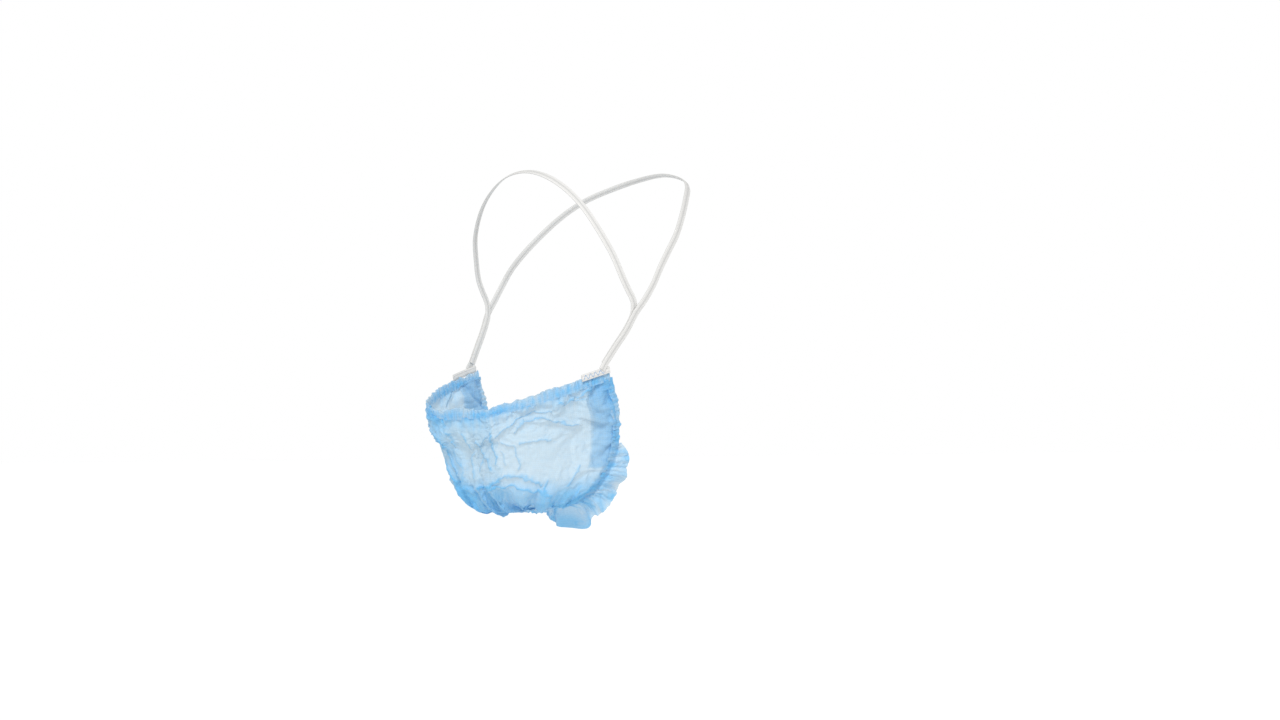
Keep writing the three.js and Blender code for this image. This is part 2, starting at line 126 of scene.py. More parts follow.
def gather(along: float, pitch: float, seed: float) -> float:
    """Gives the height of cloth that elastic has drawn up into uneven pleats.

    Args:
        along: How far along the elastic, in metres.
        pitch: The usual distance between pleats, in metres.
        seed: Sets one run of pleats apart from another.

    Returns:
        A height from about -1 to 1.
    """
    x = along / pitch
    stray = 1.3 * rough(x * 0.31, seed, 0.0)
    pleat = 2.0 * sharp_wave(x + stray) - 0.8
    strength = 0.75 + 0.9 * rough(x * 0.17, seed, 9.0)
    fine = 0.45 * rough(x * 2.7, seed, 5.0)
    return pleat * strength + fine


def crumple(at: Vector, size: float) -> tuple[float, float]:
    """Gives the height of cloth that was crumpled and opened out again.

    Args:
        at: A point on the cloth, in metres.
        size: The usual distance between creases, in metres.

    Returns:
        A height from about -1 to 1, and how near a crease is, from 0 to 1.
    """
    p = at / size
    bent = p + 0.8 * noise.noise_vector(p * 0.6)
    large = abs(noise.noise(bent))
    small = abs(noise.noise(bent * 2.3 + Vector((7.0, 3.0, 1.0))))
    height = 2.6 * (large + 0.4 * small) - 0.8
    return height, hump(large, 0.035)


def crossed(along: Vector, out: Vector) -> Vector:
    """Returns the unit vector square to both directions."""
    return along.cross(out).normalized()


def flattened(way: Vector, normal: Vector) -> Vector:
    """Returns the part of a direction that lies across a normal."""
    return (way - normal * way.dot(normal)).normalized()


def smoothed(ways: Sequence[Vector], rounds: int) -> list[Vector]:
    """Averages each direction with its neighbours.

    Args:
        ways: Unit vectors in order along a path.
        rounds: How often they are averaged.

    Returns:
        As many unit vectors.
    """
    now = list(ways)
    last = len(now) - 1
    for _ in range(rounds):
        before = [now[max(k - 1, 0)] for k in range(last + 1)]
        after = [now[min(k + 1, last)] for k in range(last + 1)]
        now = [(way * 2 + a + b).normalized() for way, a, b in zip(now, before, after)]
    return now


def linked(name: str, data: bpy.types.ID) -> bpy.types.Object:
    """Makes an object and puts it in the scene.

    Args:
        name: The object's name.
        data: The mesh, camera or light that it shows.

    Returns:
        The object.
    """
    made = bpy.data.objects.new(name, data)
    bpy.context.scene.collection.objects.link(made)
    return made


def shade_smooth(mesh: bpy.types.Mesh) -> None:
    """Shades all of a mesh's faces as one smooth surface."""
    mesh.polygons.foreach_set("use_smooth", [True] * len(mesh.polygons))


def grid_piece(
    name: str,
    across: int,
    down: int,
    place: Callable[[float, float], Vector],
    closed_down: bool = False,
) -> bpy.types.Object:
    """Makes a sheet from a flat grid, bent to its place point by point.

    Its UV map follows the cloth.

    Args:
        name: The piece's name.
        across: Cells along u, which runs from 0 to 1.
        down: Cells along v, which runs from 0 to 1.
        place: Gives the point in metres for u and v.
        closed_down: Whether the sheet's v = 0 and v = 1 edges meet and are merged.

    Returns:
        The linked object.
    """
    bm = bmesh.new()
    uv_layer = bm.loops.layers.uv.new(UV_MAP)
    bmesh.ops.create_grid(bm, x_segments=across, y_segments=down, size=0.5)
    for face in bm.faces:
        for loop in face.loops:
            loop[uv_layer].uv = (loop.vert.co.x + 0.5, 0.5 - loop.vert.co.y)
    for vert in bm.verts:
        vert.co = place(vert.co.x + 0.5, 0.5 - vert.co.y)
    if closed_down:
        bmesh.ops.remove_doubles(bm, verts=bm.verts[:], dist=MERGE)
    mesh = bpy.data.meshes.new(name)
    bm.to_mesh(mesh)
    bm.free()
    shade_smooth(mesh)
    return linked(name, mesh)


def close_ends(piece: bpy.types.Object) -> None:
    """Fills a tube's two open ends and turns all its faces outward.

    Args:
        piece: The tube.
    """
    bm = bmesh.new()
    bm.from_mesh(piece.data)
    bmesh.ops.holes_fill(bm, edges=[e for e in bm.edges if e.is_boundary], sides=0)
    bmesh.ops.recalc_face_normals(bm, faces=bm.faces[:])
    bm.to_mesh(piece.data)
    bm.free()


def rows_of(mesh: bpy.types.Mesh, what: str) -> np.ndarray:
    """Reads one property of a mesh's points.

    Args:
        mesh: The mesh.
        what: The property, which has three numbers at each point.

    Returns:
        A row of three numbers for each point.
    """
    flat = np.empty(len(mesh.vertices) * 3)
    mesh.vertices.foreach_get(what, flat)
    return flat.reshape(-1, 3)


def points_of(mesh: bpy.types.Mesh) -> np.ndarray:
    """Returns the places of a mesh's points as rows."""
    return rows_of(mesh, "co")


def normals_of(mesh: bpy.types.Mesh) -> np.ndarray:
    """Returns the normals at a mesh's points as rows."""
    return rows_of(mesh, "normal")


def uv_of(mesh: bpy.types.Mesh) -> np.ndarray:
    """Reads each point's place on the cloth.

    Args:
        mesh: A mesh with a UV map.

    Returns:
        A row of u and v for each point, both from 0 to 1.
    """
    flat = np.empty(len(mesh.loops) * 2)
    mesh.uv_layers[UV_MAP].data.foreach_get("uv", flat)
    corner = np.empty(len(mesh.loops), dtype=np.int32)
    mesh.loops.foreach_get("vertex_index", corner)
    places = np.zeros((len(mesh.vertices), 2))
    places[corner] = flat.reshape(-1, 2)
    return places


def set_points(mesh: bpy.types.Mesh, points: np.ndarray) -> None:
    """Moves a mesh's points to the rows of an array."""
    mesh.vertices.foreach_set("co", points.reshape(-1))
    mesh.update()


def raise_points(mesh: bpy.types.Mesh, heights: np.ndarray) -> None:
    """Moves each of a mesh's points along its normal by its own height."""
    set_points(mesh, points_of(mesh) + normals_of(mesh) * heights[:, None])


def turn_outward(mesh: bpy.types.Mesh, inside: Vector) -> None:
    """Turns an open sheet's faces so that most of them face away from a point.

    Args:
        mesh: The sheet's mesh.
        inside: A point on the sheet's hollow side.
    """
    facing = sum((face.center - inside).dot(face.normal) * face.area for face in mesh.polygons)
    if facing < 0:
        mesh.flip_normals()


def baked(piece: bpy.types.Object) -> None:
    """Applies a piece's modifiers to its mesh.

    Args:
        piece: The piece.
    """
    graph = bpy.context.evaluated_depsgraph_get()
    old = piece.data
    piece.data = bpy.data.meshes.new_from_object(piece.evaluated_get(graph))
    piece.data.name = piece.name
    piece.modifiers.clear()
    bpy.data.meshes.remove(old)


def divided(piece: bpy.types.Object, levels: int) -> None:
    """Rounds a piece by subdivision and applies it.

    Args:
        piece: The piece.
        levels: How often its faces are divided.
    """
    round_off = piece.modifiers.new("round", "SUBSURF")
    round_off.levels = levels
    round_off.render_levels = levels
    round_off.boundary_smooth = "PRESERVE_CORNERS"
    baked(piece)
    shade_smooth(piece.data)


def store(piece: bpy.types.Object, name: str, values: Iterable[float]) -> None:
    """Stores a number at each point, for the piece's finish to read."""
    attribute = piece.data.attributes.new(name, "FLOAT", "POINT")
    attribute.data.foreach_set("value", list(values))


@dataclass(frozen=True)
class Crumpling:
    """How spare cloth buckles when its edges are held shorter than it was cut.

    Attributes:
        spare: How much longer the cloth is than its place, as a share.
        frames: How many steps the cloth gets to buckle.
        bend: How stiffly it bends.
        hold: How firmly its free points are held, where 1 is sewn down.
        push: The height of the first unevenness.
        most: The farthest that a point may move.
        grain: How often the first unevenness rises and falls in a metre.
        scale: How much larger than the real piece the simulated one is.
    """

    spare: float = 0.14
    frames: int = 22
    bend: float = 0.05
    hold: float = 0.02
    push: float = 1.2 * MM
    most: float = 7.0 * MM
    grain: float = 60.0
    scale: float = 10.0

    def run(self, piece: bpy.types.Object, held: Sequence[bool]) -> None:
        """Lets the cloth buckle and keeps the result as the piece's mesh.

        Args:
            piece: A sheet in its place, without modifiers.
            held: Whether each point is sewn down.
        """
        mesh = piece.data
        start = points_of(mesh)
        normals = normals_of(mesh)
        uneven = np.array([self.uneven(Vector(p)) for p in start])
        free = 1.0 - np.array(held, dtype=float)
        moved = start + normals * (self.push * uneven * free)[:, None]
        set_points(mesh, moved * self.scale)
        sewn = piece.vertex_groups.new(name="sewn")
        for k, fixed in enumerate(held):
            sewn.add([k], 1.0 if fixed else self.hold, "REPLACE")
        self.set_cloth(piece.modifiers.new("cloth", "CLOTH"))
        scene = bpy.context.scene
        for number in range(1, self.frames + 1):
            scene.frame_set(number)
        baked(piece)
        piece.vertex_groups.clear()
        found = points_of(piece.data) / self.scale
        step = found - start
        length = np.maximum(np.linalg.norm(step, axis=1), NO_LENGTH)
        share = self.most * np.tanh(length / self.most) / length
        set_points(piece.data, start + step * share[:, None])
        scene.frame_set(1)

    def uneven(self, at: Vector) -> float:
        """Returns the small push that decides where the first creases form."""
        return noise.noise(at * self.grain) + 0.6 * noise.noise(at * (2.3 * self.grain))

    def set_cloth(self, cloth: bpy.types.ClothModifier) -> None:
        """Sets a cloth modifier up as light, limp nonwoven.

        Args:
            cloth: The modifier.
        """
        feel = cloth.settings
        feel.quality = 6
        feel.mass = 0.15
        feel.tension_stiffness = 40
        feel.compression_stiffness = 40
        feel.shear_stiffness = 15
        feel.bending_stiffness = self.bend
        feel.tension_damping = 5
        feel.compression_damping = 5
        feel.shear_damping = 5
        feel.air_damping = 3
        feel.vertex_group_mass = "sewn"
        feel.pin_stiffness = 1.0
        feel.shrink_min = -self.spare
        feel.effector_weights.gravity = 0
        cloth.collision_settings.use_collision = False
        cloth.point_cache.frame_start = 1
        cloth.point_cache.frame_end = self.frames


class Nodes:
    """A short hand for building one material's node tree."""

    def __init__(self, name: str) -> None:
        """Starts an empty material with only its output.

        Args:
            name: The material's name.
        """
        self.material = bpy.data.materials.new(name)
        self.material.use_nodes = True
        self.tree = self.material.node_tree
        self.tree.nodes.clear()
        self.output = self.tree.nodes.new("ShaderNodeOutputMaterial")

    def put(self, socket: bpy.types.NodeSocket, value: object) -> None:
        """Links a socket to another one, or gives it a constant.

        Args:
            socket: The input.
            value: The output to link it to, or the constant.
        """
        if isinstance(value, bpy.types.NodeSocket):
            self.tree.links.new(value, socket)
        else:
            socket.default_value = value

    def add(self, kind: str, **values: object) -> bpy.types.Node:
        """Adds a node and sets what is named.

        Args:
            kind: The node's type without its ShaderNode prefix.
            **values: Properties by name, or sockets or constants by the name of the input that they
                go to, with spaces as underscores.

        Returns:
            The node.
        """
        node = self.tree.nodes.new("ShaderNode" + kind)
        for key, value in values.items():
            if hasattr(node, key):
                setattr(node, key, value)
            else:
                self.put(node.inputs[key.replace("_", " ")], value)
        return node

    def math(self, how: str, *values: object) -> bpy.types.NodeSocket:
        """Adds a Math node.

        Args:
            how: The operation's name.
            *values: A socket or a number for each of its inputs, in their order.

        Returns:
            Its output.
        """
        node = self.add("Math", operation=how)
        for socket, value in zip(node.inputs, values):
            self.put(socket, value)
        return node.outputs[0]

    def between(self, value: bpy.types.NodeSocket, low: float, high: float) -> bpy.types.NodeSocket:
        """Maps a value from low..high to 0..1, held inside it."""
        return self.add("MapRange", Value=value, From_Min=low, From_Max=high).outputs[0]

    def mixed(self, share: object, first: object, second: object) -> bpy.types.NodeSocket:
        """Mixes two colours.

        Args:
            share: A socket or a number from 0 to 1.
            first: A socket or an RGBA colour, shown at 0.
            second: A socket or an RGBA colour, shown at 1.

        Returns:
            The mixed colour.
        """
        node = self.add("Mix", data_type="RGBA")
        # The node has inputs for every type of data, and those for colours are numbers 6 and 7.
        for k, value in ((0, share), (6, first), (7, second)):
            self.put(node.inputs[k], value)
        return node.outputs[2]

    def blended(self, share: object, first: object, second: object) -> bpy.types.NodeSocket:
        """Mixes two surfaces.

        Args:
            share: A socket or a number from 0 to 1.
            first: The surface shown at 0.
            second: The surface shown at 1.

        Returns:
            The mixed surface.
        """
        node = self.add("MixShader")
        for socket, value in zip(node.inputs, (share, first, second)):
            self.put(socket, value)
        return node.outputs[0]

    def place(self, along: float, across: float, turn: float = 0.0) -> bpy.types.NodeSocket:
        """Reads the place on the piece's own UV map.

        Args:
            along: The scale along u.
            across: The scale along v.
            turn: The turn in radians.

        Returns:
            The place, scaled and turned.
        """
        uv = self.add("UVMap", uv_map=UV_MAP).outputs[0]
        scale = (along, across, 1.0)
        return self.add("Mapping", Vector=uv, Scale=scale, Rotation=(0.0, 0.0, turn)).outputs[0]

    def finished(self, surface: bpy.types.NodeSocket) -> bpy.types.Material:
        """Shows a surface on the material and returns it."""
        self.put(self.output.inputs["Surface"], surface)
        return self.material


@dataclass(frozen=True)
class NonwovenFinish:
    """Thin spunbond nonwoven: pale where it is one layer, bluer and denser where layers lie together.

    Attributes:
        name: The material's name.
        pale: The colour of one flat layer.
        deep: The colour of bunched cloth.
        fibre: The colour of the lightest fibres.
        thin: How much one flat layer covers what is behind it.
        dense: How much bunched cloth covers.
        through: The share of the light that passes through the cloth.
        creased: How much denser a pressed crease looks.
        across: The length in metres of the whole UV map along u.
        down: The length in metres of the whole UV map along v.
        points: How much less the bonding points cover.
        cloudy: How uneven the layer looks over some centimetres.
        speckled: How much the lightest fibres show.
        woven: How unevenly the fibres cover.
    """

    name: str
    pale: Colour = (0.515, 0.675, 0.78, 1.0)
    deep: Colour = (0.15, 0.50, 0.82, 1.0)
    fibre: Colour = (0.85, 0.93, 0.98, 1.0)
    thin: float = 0.89
    dense: float = 0.96
    through: float = 0.35
    creased: float = 0.14
    across: float = 0.25
    down: float = 0.11
    points: float = 0.1
    cloudy: float = 0.35
    speckled: float = 0.16
    woven: float = 0.12

    def make(self) -> bpy.types.Material:
        """Builds the material on the cloth's own UV map and its layers attribute.

        Returns:
            The material.
        """
        n = Nodes(self.name)
        place = n.place(self.across / MM, self.down / MM)
        layers = n.add("Attribute", attribute_name=LAYERS).outputs["Fac"]
        # The fibres lie unevenly, and a grid of small points bonds them.
        clouds = n.add("TexNoise", Vector=place, Scale=0.22, Detail=4.0, Roughness=0.6).outputs["Fac"]
        fibres = n.add("TexNoise", Vector=place, Scale=2.4, Detail=3.0, Roughness=0.7, Distortion=1.5)
        fibre = fibres.outputs["Fac"]
        dots = n.add("TexVoronoi", Vector=place, Scale=0.75, Randomness=0.12)
        pressed = n.between(dots.outputs["Distance"], 0.32, 0.14)
        lines = self.pressed_lines(n, place)

        # The more layers, the deeper the blue. Part of the pouch's layers value is painted shade.
        uneven = n.math("MULTIPLY_ADD", clouds, self.cloudy, -0.17)
        tint = n.math("ADD", n.math("ADD", layers, uneven), n.math("MULTIPLY", lines, self.creased))
        plain = n.mixed(n.between(tint, 0.0, 1.0), self.pale, self.deep)
        specks = n.math("MULTIPLY", n.between(fibre, 0.35, 0.75), self.speckled)
        colour = n.mixed(specks, plain, self.fibre)

        # The cloth covers more where it is denser, and less at the bonding points.
        amount = n.math("MULTIPLY_ADD", n.between(tint, 0.0, 0.9), self.dense - self.thin, self.thin)
        weave = n.math("MULTIPLY", n.between(fibre, 0.3, 0.7), self.woven)
        alpha = n.math("ADD", amount, n.math("SUBTRACT", weave, self.woven / 2))
        alpha = n.math("SUBTRACT", alpha, n.math("MULTIPLY", pressed, self.points))

        height = n.math("ADD", n.math("MULTIPLY", fibre, 0.5), n.math("MULTIPLY", pressed, -0.5))
        fine = n.add("Bump", Height=height, Strength=0.3, Distance=0.3 * MM).outputs[0]
        normal = n.add("Bump", Height=lines, Normal=fine, Strength=0.3, Distance=0.8 * MM).outputs[0]

        skin = n.add("BsdfPrincipled", Base_Color=colour, Normal=normal, Roughness=0.72)
        skin.inputs["Specular IOR Level"].default_value = 0.28
        skin.inputs["Sheen Weight"].default_value = 0.15
        skin.inputs["Sheen Roughness"].default_value = 0.5
        glow = n.add("BsdfTranslucent", Color=colour, Normal=normal)
        clear = n.add("BsdfTransparent")
        lit = n.blended(self.through, skin.outputs[0], glow.outputs[0])
        return n.finished(n.blended(n.between(alpha, 0.0, 1.0), clear.outputs[0], lit))

    def pressed_lines(self, n: Nodes, place: bpy.types.NodeSocket) -> bpy.types.NodeSocket:
        """Draws the fine creases that stay in cloth that was packed flat.

        Args:
            n: The material's nodes.
            place: The place on the cloth.

        Returns:
            1 on a crease and 0 beside it. The creases stop and start over the cloth.
        """
        creases = n.add("TexNoise", Vector=place, Scale=0.085, Detail=1.6, Roughness=0.4, Distortion=0.9)
        away = n.math("ABSOLUTE", n.math("SUBTRACT", creases.outputs["Fac"], 0.5))
        broken = n.add("TexNoise", Vector=place, Scale=0.07, Detail=1.0)
        shown = n.between(broken.outputs["Fac"], 0.5, 0.62)
        return n.math("MULTIPLY", n.between(away, 0.017, 0.0), shown)


@dataclass(frozen=True)
class ElasticFinish:
    """Flat knitted elastic: matt white yarn with fine courses across it."""

    name: str = "knitted elastic"
    yarn: Colour = (0.80, 0.79, 0.77, 1.0)
    # The shade colour is painted shade in the gaps between stitches.
    shade: Colour = (0.52, 0.52, 0.51, 1.0)

    def make(self) -> bpy.types.Material:
        """Builds the material on the band's UV map, whose u runs along the band, and its knit attribute.

        Returns:
            The material.
        """
        n = Nodes(self.name)
        knit = n.add("Attribute", attribute_name=KNIT).outputs["Fac"]
        place = n.place(900.0, 14.0)
        fuzz = n.add("TexNoise", Vector=place, Scale=3.0, Detail=4.0, Roughness=0.7).outputs["Fac"]
        # The knit's gaps are painted in the shade colour, as painted shade; the fuzz adds random
        # unevenness.
        depth = n.math("ADD", knit, n.math("MULTIPLY", n.math("SUBTRACT", fuzz, 0.5), 0.5))
        colour = n.mixed(n.between(depth, 0.1, 0.75), self.shade, self.yarn)
        bump = n.add("Bump", Height=fuzz, Strength=0.35, Distance=0.2 * MM)
        skin = n.add("BsdfPrincipled", Base_Color=colour, Normal=bump.outputs[0], Roughness=0.85)
        skin.inputs["Specular IOR Level"].default_value = 0.2
        skin.inputs["Sheen Weight"].default_value = 0.25
        skin.inputs["Sheen Roughness"].default_value = 0.4
        return n.finished(skin.outputs[0])


@dataclass(frozen=True)
class ThreadFinish:
    """Twisted sewing thread."""

    name: str = "sewing thread"
    colour: Colour = (0.36, 0.55, 0.80, 1.0)
    # How dark the painted shade in the twist's grooves is.
    dark: float = 0.6

    def make(self) -> bpy.types.Material:
        """Builds the material with a fine twist along the thread's UV map.

        Returns:
            The material.
        """
        n = Nodes(self.name)
        place = n.place(60.0, 2.0, turn=0.5)
        twist = n.add("TexWave", Vector=place, Scale=1.0, Distortion=0.6).outputs["Fac"]
        # The twist's grooves are painted darker, as painted shade.
        shade = tuple(self.dark * c for c in self.colour[:3]) + (1.0,)
        colour = n.mixed(twist, shade, self.colour)
        bump = n.add("Bump", Height=twist, Strength=0.4, Distance=0.1 * MM)
        skin = n.add("BsdfPrincipled", Base_Color=colour, Normal=bump.outputs[0], Roughness=0.6)
        return n.finished(skin.outputs[0])


@dataclass(frozen=True)
class FloorFinish:
    """Plain pale floor."""

    name: str = "pale floor"
    colour: Colour = (0.98, 0.98, 0.98, 1.0)

    def make(self) -> bpy.types.Material:
        """Builds a matt, nearly white material.

        Returns:
            The material.
        """
        n = Nodes(self.name)
        skin = n.add("BsdfPrincipled", Base_Color=self.colour, Roughness=0.9)
        return n.finished(skin.outputs[0])


@dataclass(frozen=True)
class Level:
    """One level line of the pouch. Lengths are shares of the form's own sizes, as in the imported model.

    Attributes:
        v: How far down the cloth it lies.
        wide: Half the width that it would have on the centre line.
        reach: How far ahead of the centre line its front lies.
        square: How square its plan is, where 2 is an ellipse.
        rear: How far ahead of the centre line its ends stand.
        front: Its height in front.
        side: Its height at its ends.
        power: How late its height changes from the front to the ends.
    """

    v: float
    wide: float
    reach: float
    square: float
    rear: float
    front: float
    side: float
    power: float


@dataclass(frozen=True)
class Fold:
    """A main fold of each side: a straight ridge between two points of the pouch.

    Attributes:
        u0: How far from the middle it starts.
        v0: How far down it starts.
        u1: How far from the middle it ends.
        v1: How far down it ends.
        high: Its height, as a share of the usual one.
        broad: Its breadth, as a share of the usual one.
    """

    u0: float
    v0: float
    u1: float
    v1: float
    high: float
    broad: float


@dataclass
class PouchForm:
    """The smooth form of the pouch, from the right rear edge (u = -1) to the left (u = 1), top down.

    Attributes:
        half_width: Half the width between the corners.
        reach: How far the front lies ahead of the centre line.
        height: The height from the seat that the levels' shares count in.
        centre_y: Where the centre line stands along Y.
        seat_drop: How far the levels' zero height lies above the seat.
        cloth_across: The cloth's run from its middle to a rear edge.
        cloth_down: The cloth's run from the top edge to the lower one.
        near: The share of the cloth over which a normal is read.
        near_edge: The share of the cloth over which the way out at an edge is read.
        levels: The level lines from the top edge to the lower one.
        known: Values that were read before.
    """

    half_width: float = 70.0 * MM
    reach: float = 100.5 * MM
    height: float = 91.0 * MM
    centre_y: float = 66.0 * MM
    seat_drop: float = 7.7 * MM
    cloth_across: float = 112.0 * MM
    cloth_down: float = 100.0 * MM
    near: float = 0.004
    near_edge: float = 0.03
    levels: tuple[Level, ...] = (
        Level(0.0, 1.0, 1.0, 2.8, 0.303, 0.588, 0.863, 1.7),
        Level(0.08, 1.007, 0.995, 2.7, 0.294, 0.533, 0.78, 1.7),
        Level(0.25, 0.993, 0.97, 2.5, 0.259, 0.423, 0.593, 1.6),
        Level(0.45, 0.95, 0.935, 2.3, 0.249, 0.286, 0.374, 1.4),
        Level(0.6, 0.9, 0.905, 2.2, 0.289, 0.143, 0.198, 1.2),
        Level(0.72, 0.829, 0.851, 2.2, 0.333, 0.033, 0.088, 1.1),
        Level(0.82, 0.743, 0.766, 2.1, 0.363, -0.055, 0.027, 1.0),
        Level(0.9, 0.671, 0.657, 2.0, 0.383, -0.091, -0.011, 1.0),
        Level(1.0, 0.714, 0.498, 2.0, 0.378, -0.06, -0.027, 1.0),
    )
    known: dict[tuple[str, float], float] = field(default_factory=dict)

    def read(self, name: str, v: float) -> float:
        """Gives the smooth value of one column of the levels at v.

        Args:
            name: The column's name.
            v: How far down the cloth.

        Returns:
            The value, from a cubic between the two levels around v.
        """
        key = (name, round(v, 6))
        if key in self.known:
            return self.known[key]
        rows = self.levels
        last = len(rows) - 1

        def slope(k: int) -> float:
            """Gives the slope at a level.

            Args:
                k: The level's index.

            Returns:
                The slope from its neighbours.
            """
            a = rows[max(k - 1, 0)]
            b = rows[min(k + 1, last)]
            return (getattr(b, name) - getattr(a, name)) / (b.v - a.v)

        k = 0
        while k < last - 1 and v > rows[k + 1].v:
            k += 1
        h = rows[k + 1].v - rows[k].v
        t = (v - rows[k].v) / h
        t2 = t * t
        t3 = t2 * t
        value = (
            (2 * t3 - 3 * t2 + 1) * getattr(rows[k], name)
            + (t3 - 2 * t2 + t) * h * slope(k)
            + (3 * t2 - 2 * t3) * getattr(rows[k + 1], name)
            + (t3 - t2) * h * slope(k + 1)
        )
        self.known[key] = value
        return value

    def point(self, u: float, v: float) -> Vector:
        """Gives a point of the smooth form.

        Args:
            u: Place across the cloth, from -1 to 1.
            v: Place down the cloth, from 0 to 1.

        Returns:
            The point in metres.
        """
        reach = self.read("reach", v) * self.reach
        rear = self.read("rear", v) * self.reach
        square = self.read("square", v)
        front = self.read("front", v) * self.height
        side = self.read("side", v) * self.height
        turn = u * math.acos(min(max((rear / reach) ** (square / 2), 0.0), 1.0))
        s = math.sin(turn)
        return Vector(
            (
                self.read("wide", v) * self.half_width * math.copysign(abs(s) ** (2 / square), s),
                self.centre_y - reach * math.cos(turn) ** (2 / square),
                self.seat_drop + front + (side - front) * abs(u) ** self.read("power", v),
            )
        )

    def normal(self, u: float, v: float) -> Vector:
        """Gives a normal of the smooth form.

        Args:
            u: Place across the cloth, from -1 to 1.
            v: Place down the cloth, from 0 to 1.

        Returns:
            The outward normal.
        """
        e = self.near
        across = self.point(min(u + e, 1.0), v) - self.point(max(u - e, -1.0), v)
        down = self.point(u, min(v + e, 1.0)) - self.point(u, max(v - e, 0.0))
        return crossed(down, across)

    def away_top(self, u: float) -> Vector:
        """Returns the way out of the cloth at its top edge."""
        return flattened(self.point(u, 0.0) - self.point(u, self.near_edge), self.normal(u, 0.0))

    def away_lower(self, u: float) -> Vector:
        """Returns the way out of the cloth at its lower edge."""
        return flattened(self.point(u, 1.0) - self.point(u, 1 - self.near_edge), self.normal(u, 1.0))

    def away_rear(self, v: float, side: Side) -> Vector:
        """Returns the way out of the cloth at one rear edge."""
        u = float(side.value)
        return flattened(self.point(u, v) - self.point((1 - self.near_edge) * u, v), self.normal(u, v))


@dataclass(frozen=True)
class Pleats:
    """The pleats that one hem's elastic draws into the cloth beside it.

    Attributes:
        high: Their height at the hem.
        pitch: The usual distance between two of them.
        reach: How far they run into the cloth, as a share of it.
        seed: Sets one hem's pleats apart from another's.
    """

    high: float
    pitch: float
    reach: float
    seed: float

    def height(self, along: float, share: float, apart: float = 0.0) -> float:
        """Gives the pleats' height.

        Args:
            along: How far along the hem, in metres.
            share: How much of the height is left at the place, from 0 to 1.
            apart: Sets the pleats of one side apart from the other side's.

        Returns:
            The height in metres.
        """
        return self.high * share * gather(along, self.pitch, self.seed + apart)


@dataclass(frozen=True)
class PouchShades:
    """How dense each part of the pouch looks, where 0 is one flat layer and 1 is bunched cloth.

    The front strip and the lower part also hold painted shade.

    Attributes:
        front: The front strip's deeper blue, partly denser cloth and partly painted shade.
        front_at: The strip's middle, as u.
        front_to_left: Its breadth on the left of that.
        front_to_right: Its breadth on the right.
        edge: The narrow band along the top hem.
        under_edge: The broader band below it.
        under_middle: What the middle of that band has more.
        rear: The band along each rear edge.
        low: The lower part's deeper blue: painted shade where it faces down, over bunched cloth.
        low_rear: What its rear corners have more.
        doubled: The turned edges behind the corners.
        doubled_from: Where they start, as |u|.
        doubled_to: Where they end, as v.
        border: How softly they start and end.
        pleat: How much paler a raised pleat looks.
        stray: How unevenly the borders run.
    """

    front: float = 0.5
    front_at: float = -0.22
    front_to_left: float = 0.16
    front_to_right: float = 0.2
    edge: float = 0.7
    under_edge: float = 0.6
    under_middle: float = 0.4
    rear: float = 0.85
    low: float = 0.9
    low_rear: float = 0.4
    doubled: float = 0.26
    doubled_from: float = 0.885
    doubled_to: float = 0.55
    border: float = 0.01
    pleat: float = 0.22
    stray: float = 0.07


